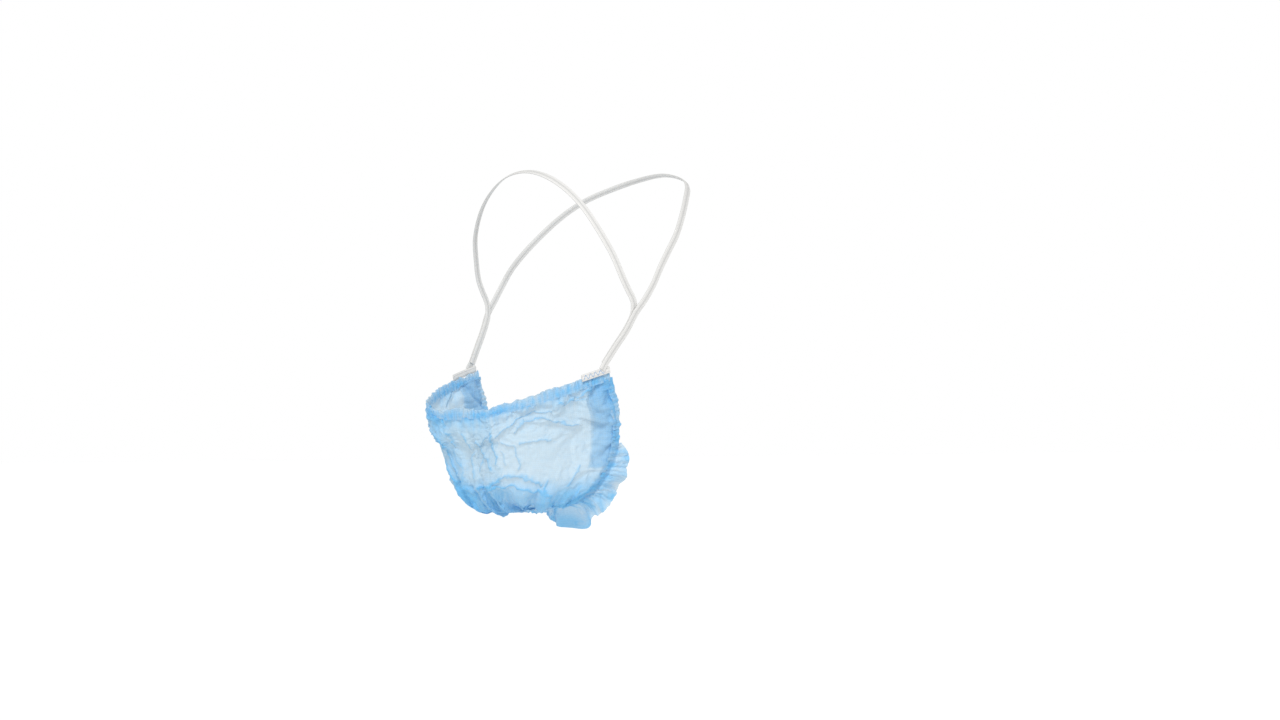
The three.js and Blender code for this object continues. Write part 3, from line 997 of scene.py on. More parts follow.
@dataclass
class Pouch:
    """The crinkled pouch of the net, one sheet from rear edge to rear edge.

    Attributes:
        form: Its smooth form.
        across: Cells of the grid along u.
        down: Cells of the grid along v.
        inset: How far inside the form the cloth starts.
        inset_front: How much farther the front starts.
        swell: The height of the main folds before the cloth buckles.
        swell_broad: Half their breadth then.
        fold_high: The height of the main folds that is added last.
        fold_broad: Half their breadth then.
        fold_dense: How much denser they look.
        own_side: How far right of the middle the right side's own stray is full, as a share.
        low_every: One fold in this many is lower on the right side.
        low_share: How much lower.
        scallop: The height of the puffs above the lower hem.
        scallop_pitch: The usual distance between two puffs.
        crinkle: The height of the crinkles.
        crinkle_size: The usual distance between two crinkles.
        fine_size: The size and height of the fine crinkles, as a share of the others'.
        line_dense: How much denser a crinkle's line looks.
        fine_line_dense: How much denser a fine crinkle's line looks.
        rim: The share of the cloth that the hems cover, which stays plain.
        crumpling: How its spare cloth buckles.
        shades: How dense its parts look.
        top_pleats: What the top hem draws into it.
        low_pleats: What the lower hem draws into it.
        rear_pleats: What the rear hems draw into it.
        folds: The main folds, given for the left side and mirrored to the right.
    """

    form: PouchForm
    across: int = 216
    down: int = 98
    inset: float = 3.6 * MM
    inset_front: float = 3.2 * MM
    swell: float = 1.0 * MM
    swell_broad: float = 3.0 * MM
    fold_high: float = 0.75 * MM
    fold_broad: float = 0.7 * MM
    fold_dense: float = 0.55
    own_side: float = 0.12
    low_every: int = 3
    low_share: float = 0.7
    scallop: float = 2.6 * MM
    scallop_pitch: float = 23.0 * MM
    crinkle: float = 0.5 * MM
    crinkle_size: float = 9.0 * MM
    fine_size: float = 0.42
    line_dense: float = 0.07
    fine_line_dense: float = 0.04
    rim: float = 0.006
    crumpling: Crumpling = Crumpling()
    shades: PouchShades = PouchShades()
    top_pleats: Pleats = Pleats(0.75 * MM, 4.2 * MM, 0.06, 1.0)
    low_pleats: Pleats = Pleats(1.1 * MM, 7.5 * MM, 0.13, 2.0)
    rear_pleats: Pleats = Pleats(0.5 * MM, 4.5 * MM, 0.03, 3.0)
    folds: tuple[Fold, ...] = (
        Fold(0.28, 0.24, 0.37, 0.19, 0.9, 0.9),
        Fold(0.37, 0.19, 0.44, 0.12, 1.0, 1.0),
        Fold(0.44, 0.12, 0.54, 0.09, 1.1, 1.1),
        Fold(0.54, 0.09, 0.66, 0.12, 0.9, 0.9),
        Fold(0.42, 0.24, 0.49, 0.15, 0.9, 0.9),
        Fold(0.49, 0.15, 0.6, 0.17, 1.1, 1.1),
        Fold(0.6, 0.17, 0.8, 0.27, 1.1, 1.0),
        Fold(0.46, 0.34, 0.64, 0.34, 0.9, 0.8),
        Fold(0.32, 0.33, 0.42, 0.36, 0.8, 0.8),
        Fold(0.42, 0.35, 0.46, 0.52, 0.9, 0.9),
        Fold(0.24, 0.2, 0.25, 0.33, 1.2, 1.1),
        Fold(0.25, 0.33, 0.3, 0.49, 1.2, 1.2),
        Fold(0.12, 0.26, 0.17, 0.38, 1.1, 1.0),
        Fold(0.17, 0.38, 0.26, 0.53, 1.1, 1.1),
        Fold(0.03, 0.17, 0.06, 0.34, 1.0, 1.0),
        Fold(0.09, 0.39, 0.05, 0.49, 0.9, 1.0),
        Fold(0.05, 0.49, 0.07, 0.59, 0.8, 1.0),
        Fold(0.2, 0.22, 0.13, 0.34, 0.8, 0.8),
        Fold(0.2, 0.44, 0.13, 0.55, 0.9, 0.9),
        Fold(0.33, 0.4, 0.36, 0.5, 0.7, 0.8),
        Fold(0.18, 0.67, 0.3, 0.61, 1.2, 1.5),
        Fold(0.3, 0.61, 0.4, 0.57, 1.2, 1.5),
        Fold(0.4, 0.57, 0.53, 0.58, 1.2, 1.5),
        Fold(0.53, 0.58, 0.63, 0.64, 1.1, 1.4),
        Fold(0.08, 0.67, 0.28, 0.66, 1.0, 1.4),
        Fold(0.28, 0.66, 0.45, 0.64, 1.0, 1.3),
        Fold(0.45, 0.64, 0.71, 0.72, 1.0, 1.4),
        Fold(0.67, 0.61, 0.67, 0.68, 1.0, 1.2),
        Fold(0.67, 0.68, 0.75, 0.81, 1.1, 1.4),
        Fold(0.83, 0.53, 0.81, 0.65, 1.0, 1.3),
        Fold(0.75, 0.1, 0.9, 0.03, 0.9, 0.9),
        Fold(0.71, 0.07, 0.87, 0.1, 0.8, 0.9),
    )

    def near_folds(self, places: np.ndarray, broad: float) -> np.ndarray:
        """Gives how strongly the main folds raise the cloth.

        Args:
            places: Rows of u and v, both from 0 to 1.
            broad: Half the usual breadth of a fold, in metres.

        Returns:
            For each row 0 away from all folds, and about 1 on the line of one.
        """
        across = self.form.cloth_across
        down = self.form.cloth_down
        u = 2 * places[:, 0] - 1
        right = np.array([eased(-x, self.own_side) for x in u])
        px = np.abs(u) * across
        py = places[:, 1] * down
        shaken = np.array([self.shaken(x, y, r) for x, y, r in zip(px, py, right)])
        px = px + shaken[:, 0]
        py = py + shaken[:, 1]
        most = np.zeros(len(px))
        for k, f in enumerate(self.folds):
            ax = f.u0 * across
            ay = f.v0 * down
            bx = f.u1 * across - ax
            by = f.v1 * down - ay
            t = np.clip(((px - ax) * bx + (py - ay) * by) / (bx * bx + by * by), 0.0, 1.0)
            d = np.hypot(px - ax - t * bx, py - ay - t * by) / (f.broad * broad)
            lower = self.low_share * right if k % self.low_every == 1 else 0.0
            most = np.maximum(most, f.high * (1 - lower) * np.exp(-d * d))
        return most

    def shaken(self, x: float, y: float, right: float) -> Vector:
        """Gives how far a fold strays from its straight line at a place on the cloth.

        Args:
            x: Distance across the cloth from its middle.
            y: Distance down the cloth.
            right: 1 on the right side, whose folds stray in their own way, and 0 on the left.

        Returns:
            The offset across and down.
        """

        def stray(grain: float, apart: float, most: float) -> Vector:
            """Returns a smooth offset of up to most millimetres, which turns grain times in a metre."""
            return noise.noise_vector(Vector((x * grain, y * grain, apart))) * most * MM

        own = stray(38.0, 12.0, 15.0) * right
        wide = stray(130.0, 2.0 * right, 2.4)
        return own + wide + stray(420.0, 6.0, 1.1)

    def scalloped(self, u: float, v: float) -> float:
        """Gives the height of the large pointed puffs that the lower gathers throw up.

        Args:
            u: Place across the cloth, from -1 to 1.
            v: Place down the cloth, from 0 to 1.

        Returns:
            The height in metres.
        """
        along = u * self.form.cloth_across
        stray = 0.55 * rough(along * 22.0, v * 2.0, 4.0)
        x = along / self.scallop_pitch + stray + 0.1
        grown = eased(v - 0.5, 0.3) * eased(1 - v, 0.14) * eased(1 - abs(u), 0.12)
        return self.scallop * grown * (2.0 * sharp_wave(x) - 0.95)

    def sunken(self, u: float, v: float) -> float:
        """Gives how far the cloth starts inside the smooth form, so that its folds end on it.

        Args:
            u: Place across the cloth, from -1 to 1.
            v: Place down the cloth, from 0 to 1.

        Returns:
            The distance in metres.
        """
        # Nothing at the hems, growing away from each of them.
        inside = eased(v, 0.14) * eased(1 - abs(u), 0.16) * eased(1 - v, 0.2)
        # A quarter of it in the lower part, on the left and all along the bottom.
        full = max(eased(u - 0.15, 0.3), eased(v - 0.72, 0.14))
        lower = 1 - 0.75 * eased(v - 0.62, 0.22) * full
        # The front, a little right of the middle, is drawn in flatter.
        front = hump(u + 0.15, 0.38, 4) * eased(v - 0.2, 0.25) * eased(0.9 - v, 0.24)
        return (self.inset * lower + self.inset_front * front) * inside

    def build(self) -> bpy.types.Object:
        """Makes the sheet, lets its spare cloth buckle, and adds the gathers, folds and fine crinkles.

        Returns:
            The finished piece.
        """
        form = self.form

        def placed(share: float, v: float) -> Vector:
            """Returns the point at which the cloth starts."""
            u = 2 * share - 1
            return form.point(u, v) + form.normal(u, v) * (self.scalloped(u, v) - self.sunken(u, v))

        piece = grid_piece("net_cloth_pouch", self.across, self.down, placed)
        turn_outward(piece.data, Vector((0.0, form.centre_y, 60.0 * MM)))
        places = uv_of(piece.data)
        u = places[:, 0]
        v = places[:, 1]
        lifted = self.near_folds(places, self.swell_broad) * np.clip(v / 0.05, 0.0, 1.0)
        raise_points(piece.data, self.swell * lifted)
        side = EDGE / 2
        self.crumpling.run(piece, (u < side) | (u > 1 - side) | (v < EDGE) | (v > 1 - EDGE))
        divided(piece, 1)
        self.crinkled(piece)
        return piece

    def crinkled(self, piece: bpy.types.Object) -> None:
        """Adds folds, gathers and crinkles along the normals and stores how dense the cloth looks.

        Args:
            piece: The sheet after it has buckled.
        """
        form = self.form
        places = uv_of(piece.data)
        folds = self.near_folds(places, self.fold_broad)
        out = np.zeros(len(places))
        dense = np.zeros(len(places))
        for k, (share, v) in enumerate(places):
            u = 2 * share - 1
            at = Vector((u * form.cloth_across, v * form.cloth_down, 0.0))
            high, near = crumple(at, self.crinkle_size)
            fine, near_fine = crumple(at + Vector((0.3, 0.1, 0.0)), self.fine_size * self.crinkle_size)
            limp = self.limp(u, v)
            tight, drawn = self.gathers(u, v)
            rear = 1 - abs(u) - self.rim
            inside = eased(v - self.rim, 0.03) * eased(1 - v, 0.06) * eased(rear, 0.03)
            crinkles = self.crinkle * limp * (high + self.fine_size * fine)
            out[k] = (crinkles + self.fold_high * folds[k] + drawn) * inside
            lines = limp * (self.line_dense * near + self.fine_line_dense * near_fine)
            dense[k] = self.dense(u, v, tight, drawn) + (self.fold_dense * folds[k] + lines)
        raise_points(piece.data, out)
        store(piece, LAYERS, dense)

    def limp(self, u: float, v: float) -> float:
        """Gives how crumpled the cloth is: most in front and below, least in the middle of each side.

        Args:
            u: Place across the cloth, from -1 to 1.
            v: Place down the cloth, from 0 to 1.

        Returns:
            A factor from about 0.5 to 1.8.
        """
        front = 0.75 * hump(abs(u), 0.36, 4)
        low = 0.5 * ramp(v - 0.55, 0.25)
        rear = 0.4 * ramp(abs(u) - 0.82, 0.1)
        return 0.55 + front + low + rear

    def gathers(self, u: float, v: float) -> tuple[float, float]:
        """Gives what the hems' elastic does to the cloth at a place.

        Args:
            u: Place across the cloth, from -1 to 1.
            v: Place down the cloth, from 0 to 1.

        Returns:
            How tightly the cloth is drawn, from 0 to 1, and the height of its pleats in metres.
        """
        along = u * self.form.cloth_across
        down = v * self.form.cloth_down
        reach = self.top_pleats.reach + 0.07 * rough(along * 110.0, 0.0, 3.0)
        top = faded(v, max(reach, 0.02))
        low = faded(1 - v, self.low_pleats.reach)
        rear = faded(1 - abs(u), self.rear_pleats.reach)
        high = self.top_pleats.height(along, top)
        high += self.low_pleats.height(along, low)
        high += self.rear_pleats.height(down, rear, math.copysign(1.0, u))
        return max(top, low, rear), high

    def dense(self, u: float, v: float, tight: float, drawn: float) -> float:
        """Gives how dense the cloth looks, apart from its folds.

        On the front strip and the lower part this is partly painted shade.

        Args:
            u: Place across the cloth, from -1 to 1.
            v: Place down the cloth, from 0 to 1.
            tight: How tightly the hems draw the cloth there.
            drawn: The height of the hems' pleats there, in metres.

        Returns:
            0 for one flat layer, up to 1 for cloth that is bunched.
        """
        shades = self.shades
        a = abs(u)
        # Streaks run down from the top hem and in from the rear ones.
        streak = 0.5 + 0.5 * rough(u * 55.0, v * 6.0, 2.0)
        down_streak = 0.5 + 0.5 * rough(u * 8.0, v * 40.0, 5.0)
        stray = shades.stray * rough(u * 3.0, v * 6.0, 8.0)
        # The front strip is painted deeper blue: partly denser cloth, partly painted shade.
        # The front strip has a sharper border on its left than on its right.
        past = u - shades.front_at + stray
        strip = hump(past, shades.front_to_left, 4) if past > 0 else hump(past, shades.front_to_right)
        front = strip * (shades.front * ramp(1.05 - v, 0.3))
        # Along each hem the cloth is bunched, which fades away from the hem.
        edge = shades.edge * faded(v, 0.03) + shades.under_edge * faded(v, 0.11)
        top = edge * blend(0.1, 1.3, streak)
        rear = shades.rear * faded(1 - a, 0.045) * blend(0.5, 1.0, down_streak) * ramp(v, 0.1)
        # The lower part is painted deeper blue: painted shade where it faces down, over the cloth bunched
        # at the lower hem.
        low = shades.low * eased(v - 0.55, 0.2) * blend(0.65, 1.0, streak)
        low += shades.low_rear * hump(a - 0.87, 0.13) * hump(v - 0.83, 0.12)
        top += shades.under_middle * hump(u, 0.35) * faded(v, 0.12) * blend(0.5, 1.0, streak)
        # Behind each corner the cloth lies double.
        turned = ramp(a - shades.doubled_from - 0.1 * stray, shades.border)
        doubled = shades.doubled * turned * ramp(shades.doubled_to - v, shades.border)
        return front + top + rear + low + doubled - shades.pleat * tight * drawn / MM


@dataclass
class HemPath:
    """The line that a hem follows, as evenly spaced places in order.

    Each place has the cloth's outward normal, the way out of the cloth, and a mark. The mark is |u| along
    the top edge. Along the rear hem it is v down each rear edge, and then rises from 1 to 2 at the lower
    middle.
    """

    places: list[Vector]
    normals: list[Vector]
    ways: list[Vector]
    marks: list[float]
    long: float = 0.0

    @classmethod
    def top(cls, form: PouchForm, steps: int = 360) -> "HemPath":
        """Follows the top edge from the right corner to the left.

        Args:
            form: The pouch's smooth form.
            steps: How many stretches it is read in.

        Returns:
            The line.
        """
        us = [2 * k / steps - 1 for k in range(steps + 1)]
        return cls(
            [form.point(u, 0.0) for u in us],
            [form.normal(u, 0.0) for u in us],
            smoothed([form.away_top(u) for u in us], 4),
            [abs(u) for u in us],
        ).evened()

    @classmethod
    def rear(cls, form: PouchForm, steps: int = 150, lower_steps: int = 260) -> "HemPath":
        """Follows the right rear edge down, the lower edge across and the left rear edge up.

        Args:
            form: The pouch's smooth form.
            steps: How many stretches each rear edge is read in.
            lower_steps: How many stretches the lower edge is read in.

        Returns:
            The line.
        """
        path = cls([], [], [], [])
        for k in range(steps + 1):
            v = k / steps
            path.add(form.point(-1.0, v), form.normal(-1.0, v), form.away_rear(v, Side.RIGHT), v)
        for k in range(1, lower_steps):
            u = 2 * k / lower_steps - 1
            path.add(form.point(u, 1.0), form.normal(u, 1.0), form.away_lower(u), 2 - abs(u))
        for k in range(steps, -1, -1):
            v = k / steps
            path.add(form.point(1.0, v), form.normal(1.0, v), form.away_rear(v, Side.LEFT), v)
        path.ways = smoothed(path.ways, 30)
        return path.evened()

    def add(self, place: Vector, normal: Vector, way: Vector, mark: float) -> None:
        """Adds one place to the end of the line.

        Args:
            place: The place.
            normal: The cloth's outward normal there.
            way: The way out of the cloth.
            mark: The place's mark.
        """
        self.places.append(place)
        self.normals.append(normal)
        self.ways.append(way)
        self.marks.append(mark)

    def evened(self, steps: int = 600) -> "HemPath":
        """Spaces the places evenly.

        Args:
            steps: How many stretches the new line has.

        Returns:
            The new line.
        """
        runs = [(b - a).length for a, b in zip(self.places, self.places[1:])]
        along = np.concatenate([[0.0], np.cumsum(runs)])
        where = np.interp(np.linspace(0.0, along[-1], steps + 1), along, np.arange(len(along)))
        even = HemPath([], [], [], [])
        for w in where:
            even.add(*self.between(w))
        even.long = float(along[-1])
        return even

    def between(self, where: float) -> tuple[Vector, Vector, Vector, float]:
        """Gives what the line has between two of its places.

        Args:
            where: An index, which need not be a whole number.

        Returns:
            The place, normal, way and mark.
        """
        k = min(int(where), len(self.places) - 2)
        t = where - k
        return (
            self.places[k].lerp(self.places[k + 1], t),
            self.normals[k].lerp(self.normals[k + 1], t).normalized(),
            self.ways[k].lerp(self.ways[k + 1], t).normalized(),
            blend(self.marks[k], self.marks[k + 1], t),
        )

    def at(self, share: float) -> tuple[Vector, Vector, Vector, float]:
        """Returns the place, normal, way and mark at a share of the line's length."""
        return self.between(min(max(share, 0.0), 1.0) * (len(self.places) - 1))

    def share_of(self, mark: float) -> float:
        """Returns the share of the length at which a mark is first reached."""
        return next(k for k, m in enumerate(self.marks) if m >= mark) / (len(self.places) - 1)


@dataclass
class GatheredHem:
    """A hem folded over the cloth's edge, drawn up by the elastic inside it so that its tips ruffle.

    Attributes:
        name: The piece's name.
        path: The line of the cloth's edge.
        wide: How far the hem reaches out from the edge.
        lap: How far it laps over the cloth.
        lap_thick: Its thickness at the lap.
        pinch_thick: Its thickness over the elastic.
        pinch_at: Where the elastic lies, as a share of the way from the lap to the tips.
        tip_thick: Its thickness at the tips.
        pleated: How much its pleats change the thickness, as a share.
        pitch: The usual distance between two pleats.
        wave: How far the tips bend aside.
        ragged: How unevenly far the tips reach, as a share.
        deep: How dense it looks at the elastic.
        pale_tips: How much paler the tips look.
        end_share: How much of its width is left at its two ends.
        end_long: How far from an end the hem has its full width.
        tight: Where it is drawn tightest, as shares of its length.
        tight_broad: How far such a place reaches, as a share of the length.
        tight_dense: How much denser such a place looks.
        crinkle: The height of its crinkles.
        crinkle_size: The usual distance between two crinkles.
        strip: The breadth of the strip that is folded over.
        steps: Cells of the grid along the hem.
        around: Cells of the grid from lap to lap.
        seed: Sets one hem apart from another.
    """

    name: str
    path: HemPath
    wide: float = 4.6 * MM
    lap: float = 1.7 * MM
    lap_thick: float = 1.3 * MM
    pinch_thick: float = 1.3 * MM
    pinch_at: float = 0.45
    tip_thick: float = 0.5 * MM
    pleated: float = 0.42
    pitch: float = 4.2 * MM
    wave: float = 0.9 * MM
    ragged: float = 0.6
    deep: float = 0.68
    pale_tips: float = 0.5
    end_share: float = 1.0
    end_long: float = 16.0 * MM
    tight: tuple[float, ...] = ()
    tight_broad: float = 0.03
    tight_dense: float = 0.4
    crinkle: float = 0.16 * MM
    crinkle_size: float = 3.2 * MM
    strip: float = 12.0 * MM
    steps: int = 900
    around: int = 30
    seed: float = 1.0

    def tall(self, along: float) -> float:
        """Gives how wide the hem is, with its ragged points.

        Args:
            along: How far along the hem.

        Returns:
            The width in metres.
        """
        points = self.ragged * abs(rough(along * 120.0, 4.0, self.seed))
        broad = 0.4 * rough(along * 45.0, 8.0, self.seed)
        whole = eased(min(along, self.path.long - along), self.end_long)
        return self.wide * blend(self.end_share, 1.0, whole) * (1.1 - points + broad)

    def half_thick(self, along: float, up: float, tall: float) -> float:
        """Gives half the hem's thickness, with its pleats.

        Args:
            along: How far along the hem.
            up: How far out from the cloth's edge.
            tall: How wide the hem is there.

        Returns:
            Half the thickness in metres.
        """
        share = eased(up + self.lap, tall + self.lap)
        if share < self.pinch_at:
            thick = blend(self.lap_thick, self.pinch_thick, share / self.pinch_at)
        else:
            past = (share - self.pinch_at) / (1 - self.pinch_at)
            thick = blend(self.pinch_thick, self.tip_thick, past)
        pleats = gather(along, 0.7 * self.pitch, self.seed + 20.0)
        return thick / 2 * (1 + self.pleated * pleats)

    def sway(self, along: float, up: float) -> float:
        """Gives how far the hem's middle bends aside: not at all at the elastic, most at the tips.

        Args:
            along: How far along the hem.
            up: How far out from the cloth's edge.

        Returns:
            The distance outward in metres.
        """
        free = ramp(up - 0.2 * self.wide, 0.8 * self.wide)
        leaned = along + 0.35 * up * math.sin(along * 140.0 + self.seed)
        large = gather(leaned, self.pitch, self.seed)
        small = 0.35 * gather(leaned, 0.57 * self.pitch, self.seed + 40.0)
        return self.wave * free * (large + small)

    def surface(self, share: float, up: float, side: float) -> Vector:
        """Gives a point beside the hem's bent middle.

        Args:
            share: How far along the hem, as a share of its length.
            up: How far out from the cloth's edge.
            side: How far outward from the middle.

        Returns:
            The point.
        """
        place, normal, way, _ = self.path.at(share)
        bent = self.sway(share * self.path.long, up)
        return place + way * (up - 0.2 * abs(bent)) + normal * (side + bent)

    def build(self) -> bpy.types.Object:
        """Makes the hem as one strip folded over the edge.

        Returns:
            The finished piece.
        """
        long = self.path.long

        def placed(u: float, v: float) -> Vector:
            """Places a point of the folded strip.

            Args:
                u: Share along the hem.
                v: From 0 at the outer lap to 1 at the inner one.

            Returns:
                The point.
            """
            tall = self.tall(u * long)
            up, fullness = self.section(v, tall)
            if up < 0:
                up *= 1 + 0.9 * rough(u * long * 150.0, math.copysign(3.0, fullness), 0.0)
            return self.surface(u, up, fullness * self.half_thick(u * long, up, tall))

        piece = grid_piece(self.name, self.steps, self.around, placed)
        turn_outward(piece.data, sum(self.path.places, Vector()) / len(self.path.places))
        places = uv_of(piece.data)
        spots = [Vector((u * long, v * self.strip, self.seed)) for u, v in places]
        high = np.array([crumple(spot, self.crinkle_size)[0] for spot in spots])
        raise_points(piece.data, self.crinkle * high)
        store(piece, LAYERS, [self.dense(u * long, v) + self.bunched(u) for u, v in places])
        return piece

    def bunched(self, share: float) -> float:
        """Returns how much denser the hem looks near the places where it is drawn tightest."""
        return self.tight_dense * sum(hump(share - near, self.tight_broad) for near in self.tight)

    def section(self, v: float, tall: float) -> tuple[float, float]:
        """Gives the smooth cross-section.

        Args:
            v: From 0 at the outer lap, over the tip at 0.5, to 1 at the inner lap.
            tall: How wide the hem is there.

        Returns:
            How far out from the cloth's edge, and the share of the half thickness, below 0 inside.
        """
        run = 1 - abs(2 * v - 1)
        up = blend(-self.lap, tall, 1 - (1 - run) ** 1.25)
        end = math.sqrt(ramp(1 - run, 0.12))
        return up, math.copysign(end, 0.5 - v)

    def dense(self, along: float, v: float) -> float:
        """Gives how dense the hem looks: most where it is drawn in, least at its tips.

        Args:
            along: How far along the hem.
            v: From 0 at the outer lap to 1 at the inner one.

        Returns:
            0 for one flat layer, up to 1 for cloth that is bunched.
        """
        up, _ = self.section(v, self.wide)
        outer = ramp(up - 0.3 * self.wide, 0.7 * self.wide)
        inner = 0.5 * ramp(0.3 * MM - up, self.lap)
        patch = 0.85 * rough(along * 42.0, 1.0, self.seed)
        fine = 0.35 * rough(along * 420.0, v * 4.0, self.seed)
        pleat = 0.15 * gather(along, self.pitch, self.seed)
        return self.deep + patch + fine - self.pale_tips * (outer + inner) - pleat


@dataclass(frozen=True)
class FrillRow:
    """How wide the frill is and how much it hangs, at one place along the rear hem.

    Attributes:
        along: The place, as a mark of the hem's path.
        wide: The width, as a share of the frill's own.
        down: How much the frill turns down, where 1 is as much as it points out.
    """

    along: float
    wide: float
    down: float


@dataclass
class Frill:
    """The loose ruffled cloth beyond the rear hem, sewn on over the hem's outer face.

    Attributes:
        hem: The hem that it is sewn to.
        wide: Its width where a row's share is 1.
        sewn: The share of the cloth's v that is sewn to the hem.
        start: Where the sewn part starts, from the cloth's edge outward.
        past_tips: How far the sewn part passes the hem's tips.
        clear: The gap above the hem's face at its tips.
        sunk: How deep the cloth lies in the hem's face where it starts.
        across: Cells of the grid along the hem.
        down: Cells of the grid outward.
        wave: The height of the ruffles before the cloth buckles.
        pitch: The usual distance between two ruffles.
        right_share: How much of its width the right side keeps, low down and below.
        crinkle: The height of its crinkles.
        crinkle_size: The usual distance between two crinkles.
        crumpling: How its spare cloth buckles.
        rows: Its width and hang from the rear edge to the lower middle.
    """

    hem: GatheredHem
    wide: float = 15.5 * MM
    sewn: float = 0.2
    start: float = -2.0 * MM
    past_tips: float = 0.25 * MM
    clear: float = 0.3 * MM
    sunk: float = 0.15 * MM
    across: int = 440
    down: int = 22
    wave: float = 1.7 * MM
    pitch: float = 15.0 * MM
    right_share: float = 0.35
    crinkle: float = 0.4 * MM
    crinkle_size: float = 5.0 * MM
    crumpling: Crumpling = Crumpling(spare=0.2, hold=0.0, push=1.1 * MM, most=4.5 * MM, grain=34.0)
    rows: tuple[FrillRow, ...] = (
        FrillRow(0.42, 0.12, 0.0),
        FrillRow(0.52, 0.5, 0.05),
        FrillRow(0.62, 0.62, 0.2),
        FrillRow(0.74, 0.6, 0.7),
        FrillRow(0.88, 0.72, 1.5),
        FrillRow(1.0, 1.08, 2.2),
        FrillRow(1.16, 0.82, 2.0),
        FrillRow(1.35, 0.42, 1.5),
        FrillRow(2.0, 0.2, 1.2),
    )

    def row(self, mark: float) -> tuple[float, float]:
        """Reads the rows at one place along the hem.

        Args:
            mark: The place's mark.

        Returns:
            The frill's width as a share, and how much it turns down.
        """
        k = 0
        while k < len(self.rows) - 2 and mark > self.rows[k + 1].along:
            k += 1
        a = self.rows[k]
        b = self.rows[k + 1]
        t = ramp(mark - a.along, b.along - a.along)
        return blend(a.wide, b.wide, t), blend(a.down, b.down, t)

    def build(self) -> bpy.types.Object:
        """Makes the frill and lets its spare cloth ruffle.

        Returns:
            The finished piece.
        """
        hem = self.hem
        first = hem.path.share_of(self.rows[0].along)
        total = hem.path.long

        def placed(u: float, v: float) -> Vector:
            """Places a point of the frill before it ruffles.

            Args:
                u: Share along the frill.
                v: From 0 where it is sewn to 1 at its free edge.

            Returns:
                The point.
            """
            where = blend(first, 1 - first, u)
            far = where * total
            tall = hem.tall(far)
            up = blend(self.start, tall + self.past_tips, ramp(v, self.sewn))
            gap = blend(-self.sunk, self.clear, ramp(v, self.sewn))
            seat = hem.surface(where, up, hem.half_thick(far, up, tall) + gap)
            if v <= self.sewn:
                return seat
            _, normal, way, mark = hem.path.at(where)
            share, hang = self.row(mark)
            if u < 0.5:
                share *= self.right(mark)
            t = (v - self.sewn) / (1 - self.sewn)
            points = 0.5 * abs(rough(far * 45.0, 3.0, 0.0))
            uneven = 1.05 - points + 0.25 * rough(far * 28.0, 6.0, 0.0)
            out = (way + Vector((0.0, 0.0, -hang * t**0.7))).normalized()
            soft = 0.5 * gather(far, self.pitch, 6.0) + 1.1 * rough(far * 75.0, 5.0, 1.0)
            ruffle = self.wave * soft * t * (0.4 + 0.6 * share)
            return seat + out * (self.wide * share * t * uneven) + normal * ruffle

        piece = grid_piece("frill_cloth", self.across, self.down, placed)
        turn_outward(piece.data, Vector((0.0, 30.0 * MM, 30.0 * MM)))
        self.crumpling.run(piece, uv_of(piece.data)[:, 1] < self.sewn + 0.5 / self.down)
        divided(piece, 1)
        self.crinkled(piece)
        return piece

    def right(self, mark: float) -> float:
        """Returns how much of its width the frill keeps at a mark on the right side."""
        return blend(1.0, self.right_share, eased(mark - 0.7, 0.15) * eased(2.0 - mark, 0.3))

    def crinkled(self, piece: bpy.types.Object) -> None:
        """Adds fine crinkles along the normals and stores how dense the cloth looks.

        Args:
            piece: The frill after it has ruffled.
        """
        places = uv_of(piece.data)
        out = np.zeros(len(places))
        dense = np.zeros(len(places))
        for k, (u, v) in enumerate(places):
            at = Vector((u * self.hem.path.long, v * self.wide, 1.0))
            high, near = crumple(at, self.crinkle_size)
            out[k] = self.crinkle * high * ramp(v - self.sewn, 0.2)
            seam = 0.45 * faded(v, 0.3)
            low = 0.35 * hump(u - 0.5, 0.3, 4)
            patch = 0.6 * rough(u * 45.0, v * 1.5, 0.0)
            dense[k] = seam + 0.42 + low + patch + 0.2 * near
        raise_points(piece.data, out)
        store(piece, LAYERS, dense)


@dataclass
class TurnedEdge:
    """The strip of doubled cloth behind one corner, inside the pouch.

    Attributes:
        side: The corner's side.
        form: The pouch's smooth form.
        wide: How far the strip reaches forward from the rear edge.
        long: How far it reaches down from the top edge.
        inset: How far inside the pouch it lies.
        dense: How dense it looks where the pouch is one flat layer.
        dense_share: How much of the pouch's own density it adds.
    """

    side: Side
    form: PouchForm
    wide: float = 13.5 * MM
    long: float = 55.0 * MM
    inset: float = 0.7 * MM
    dense: float = 0.3
    dense_share: float = 0.3

    def build(self, pouch: bpy.types.Object) -> bpy.types.Object:
        """Copies the pouch's cloth behind the corner and sets it inward.

        Args:
            pouch: The finished pouch, whose UV map follows its cloth.

        Returns:
            The finished piece.
        """
        share = self.wide / self.form.cloth_across / 2
        reach = self.long / self.form.cloth_down
        bm = bmesh.new()
        bm.from_mesh(pouch.data)
        bm.normal_update()
        uv_layer = bm.loops.layers.uv[UV_MAP]

        def belongs(face: bmesh.types.BMFace) -> bool:
            """Tells whether a face lies in the strip.

            Args:
                face: A face of the pouch.

            Returns:
                True if it does.
            """
            middle = sum((loop[uv_layer].uv for loop in face.loops), Vector((0.0, 0.0))) / len(face.loops)
            from_edge = 1 - middle.x if self.side is Side.LEFT else middle.x
            return from_edge < share and middle.y < reach

        spare = [face for face in bm.faces if not belongs(face)]
        bmesh.ops.delete(bm, geom=spare, context="FACES")
        bm.normal_update()
        for vert in bm.verts:
            vert.co -= vert.normal * self.inset
        name = f"{self.side.word}_turned_cloth"
        mesh = bpy.data.meshes.new(name)
        bm.to_mesh(mesh)
        bm.free()
        for item in mesh.attributes[LAYERS].data:
            item.value = self.dense + self.dense_share * item.value
        return linked(name, mesh)


@dataclass
class Station:
    """One cut through a flat band: its middle, the way across it and the way out of its face."""

    middle: Vector
    across: Vector
    out: Vector


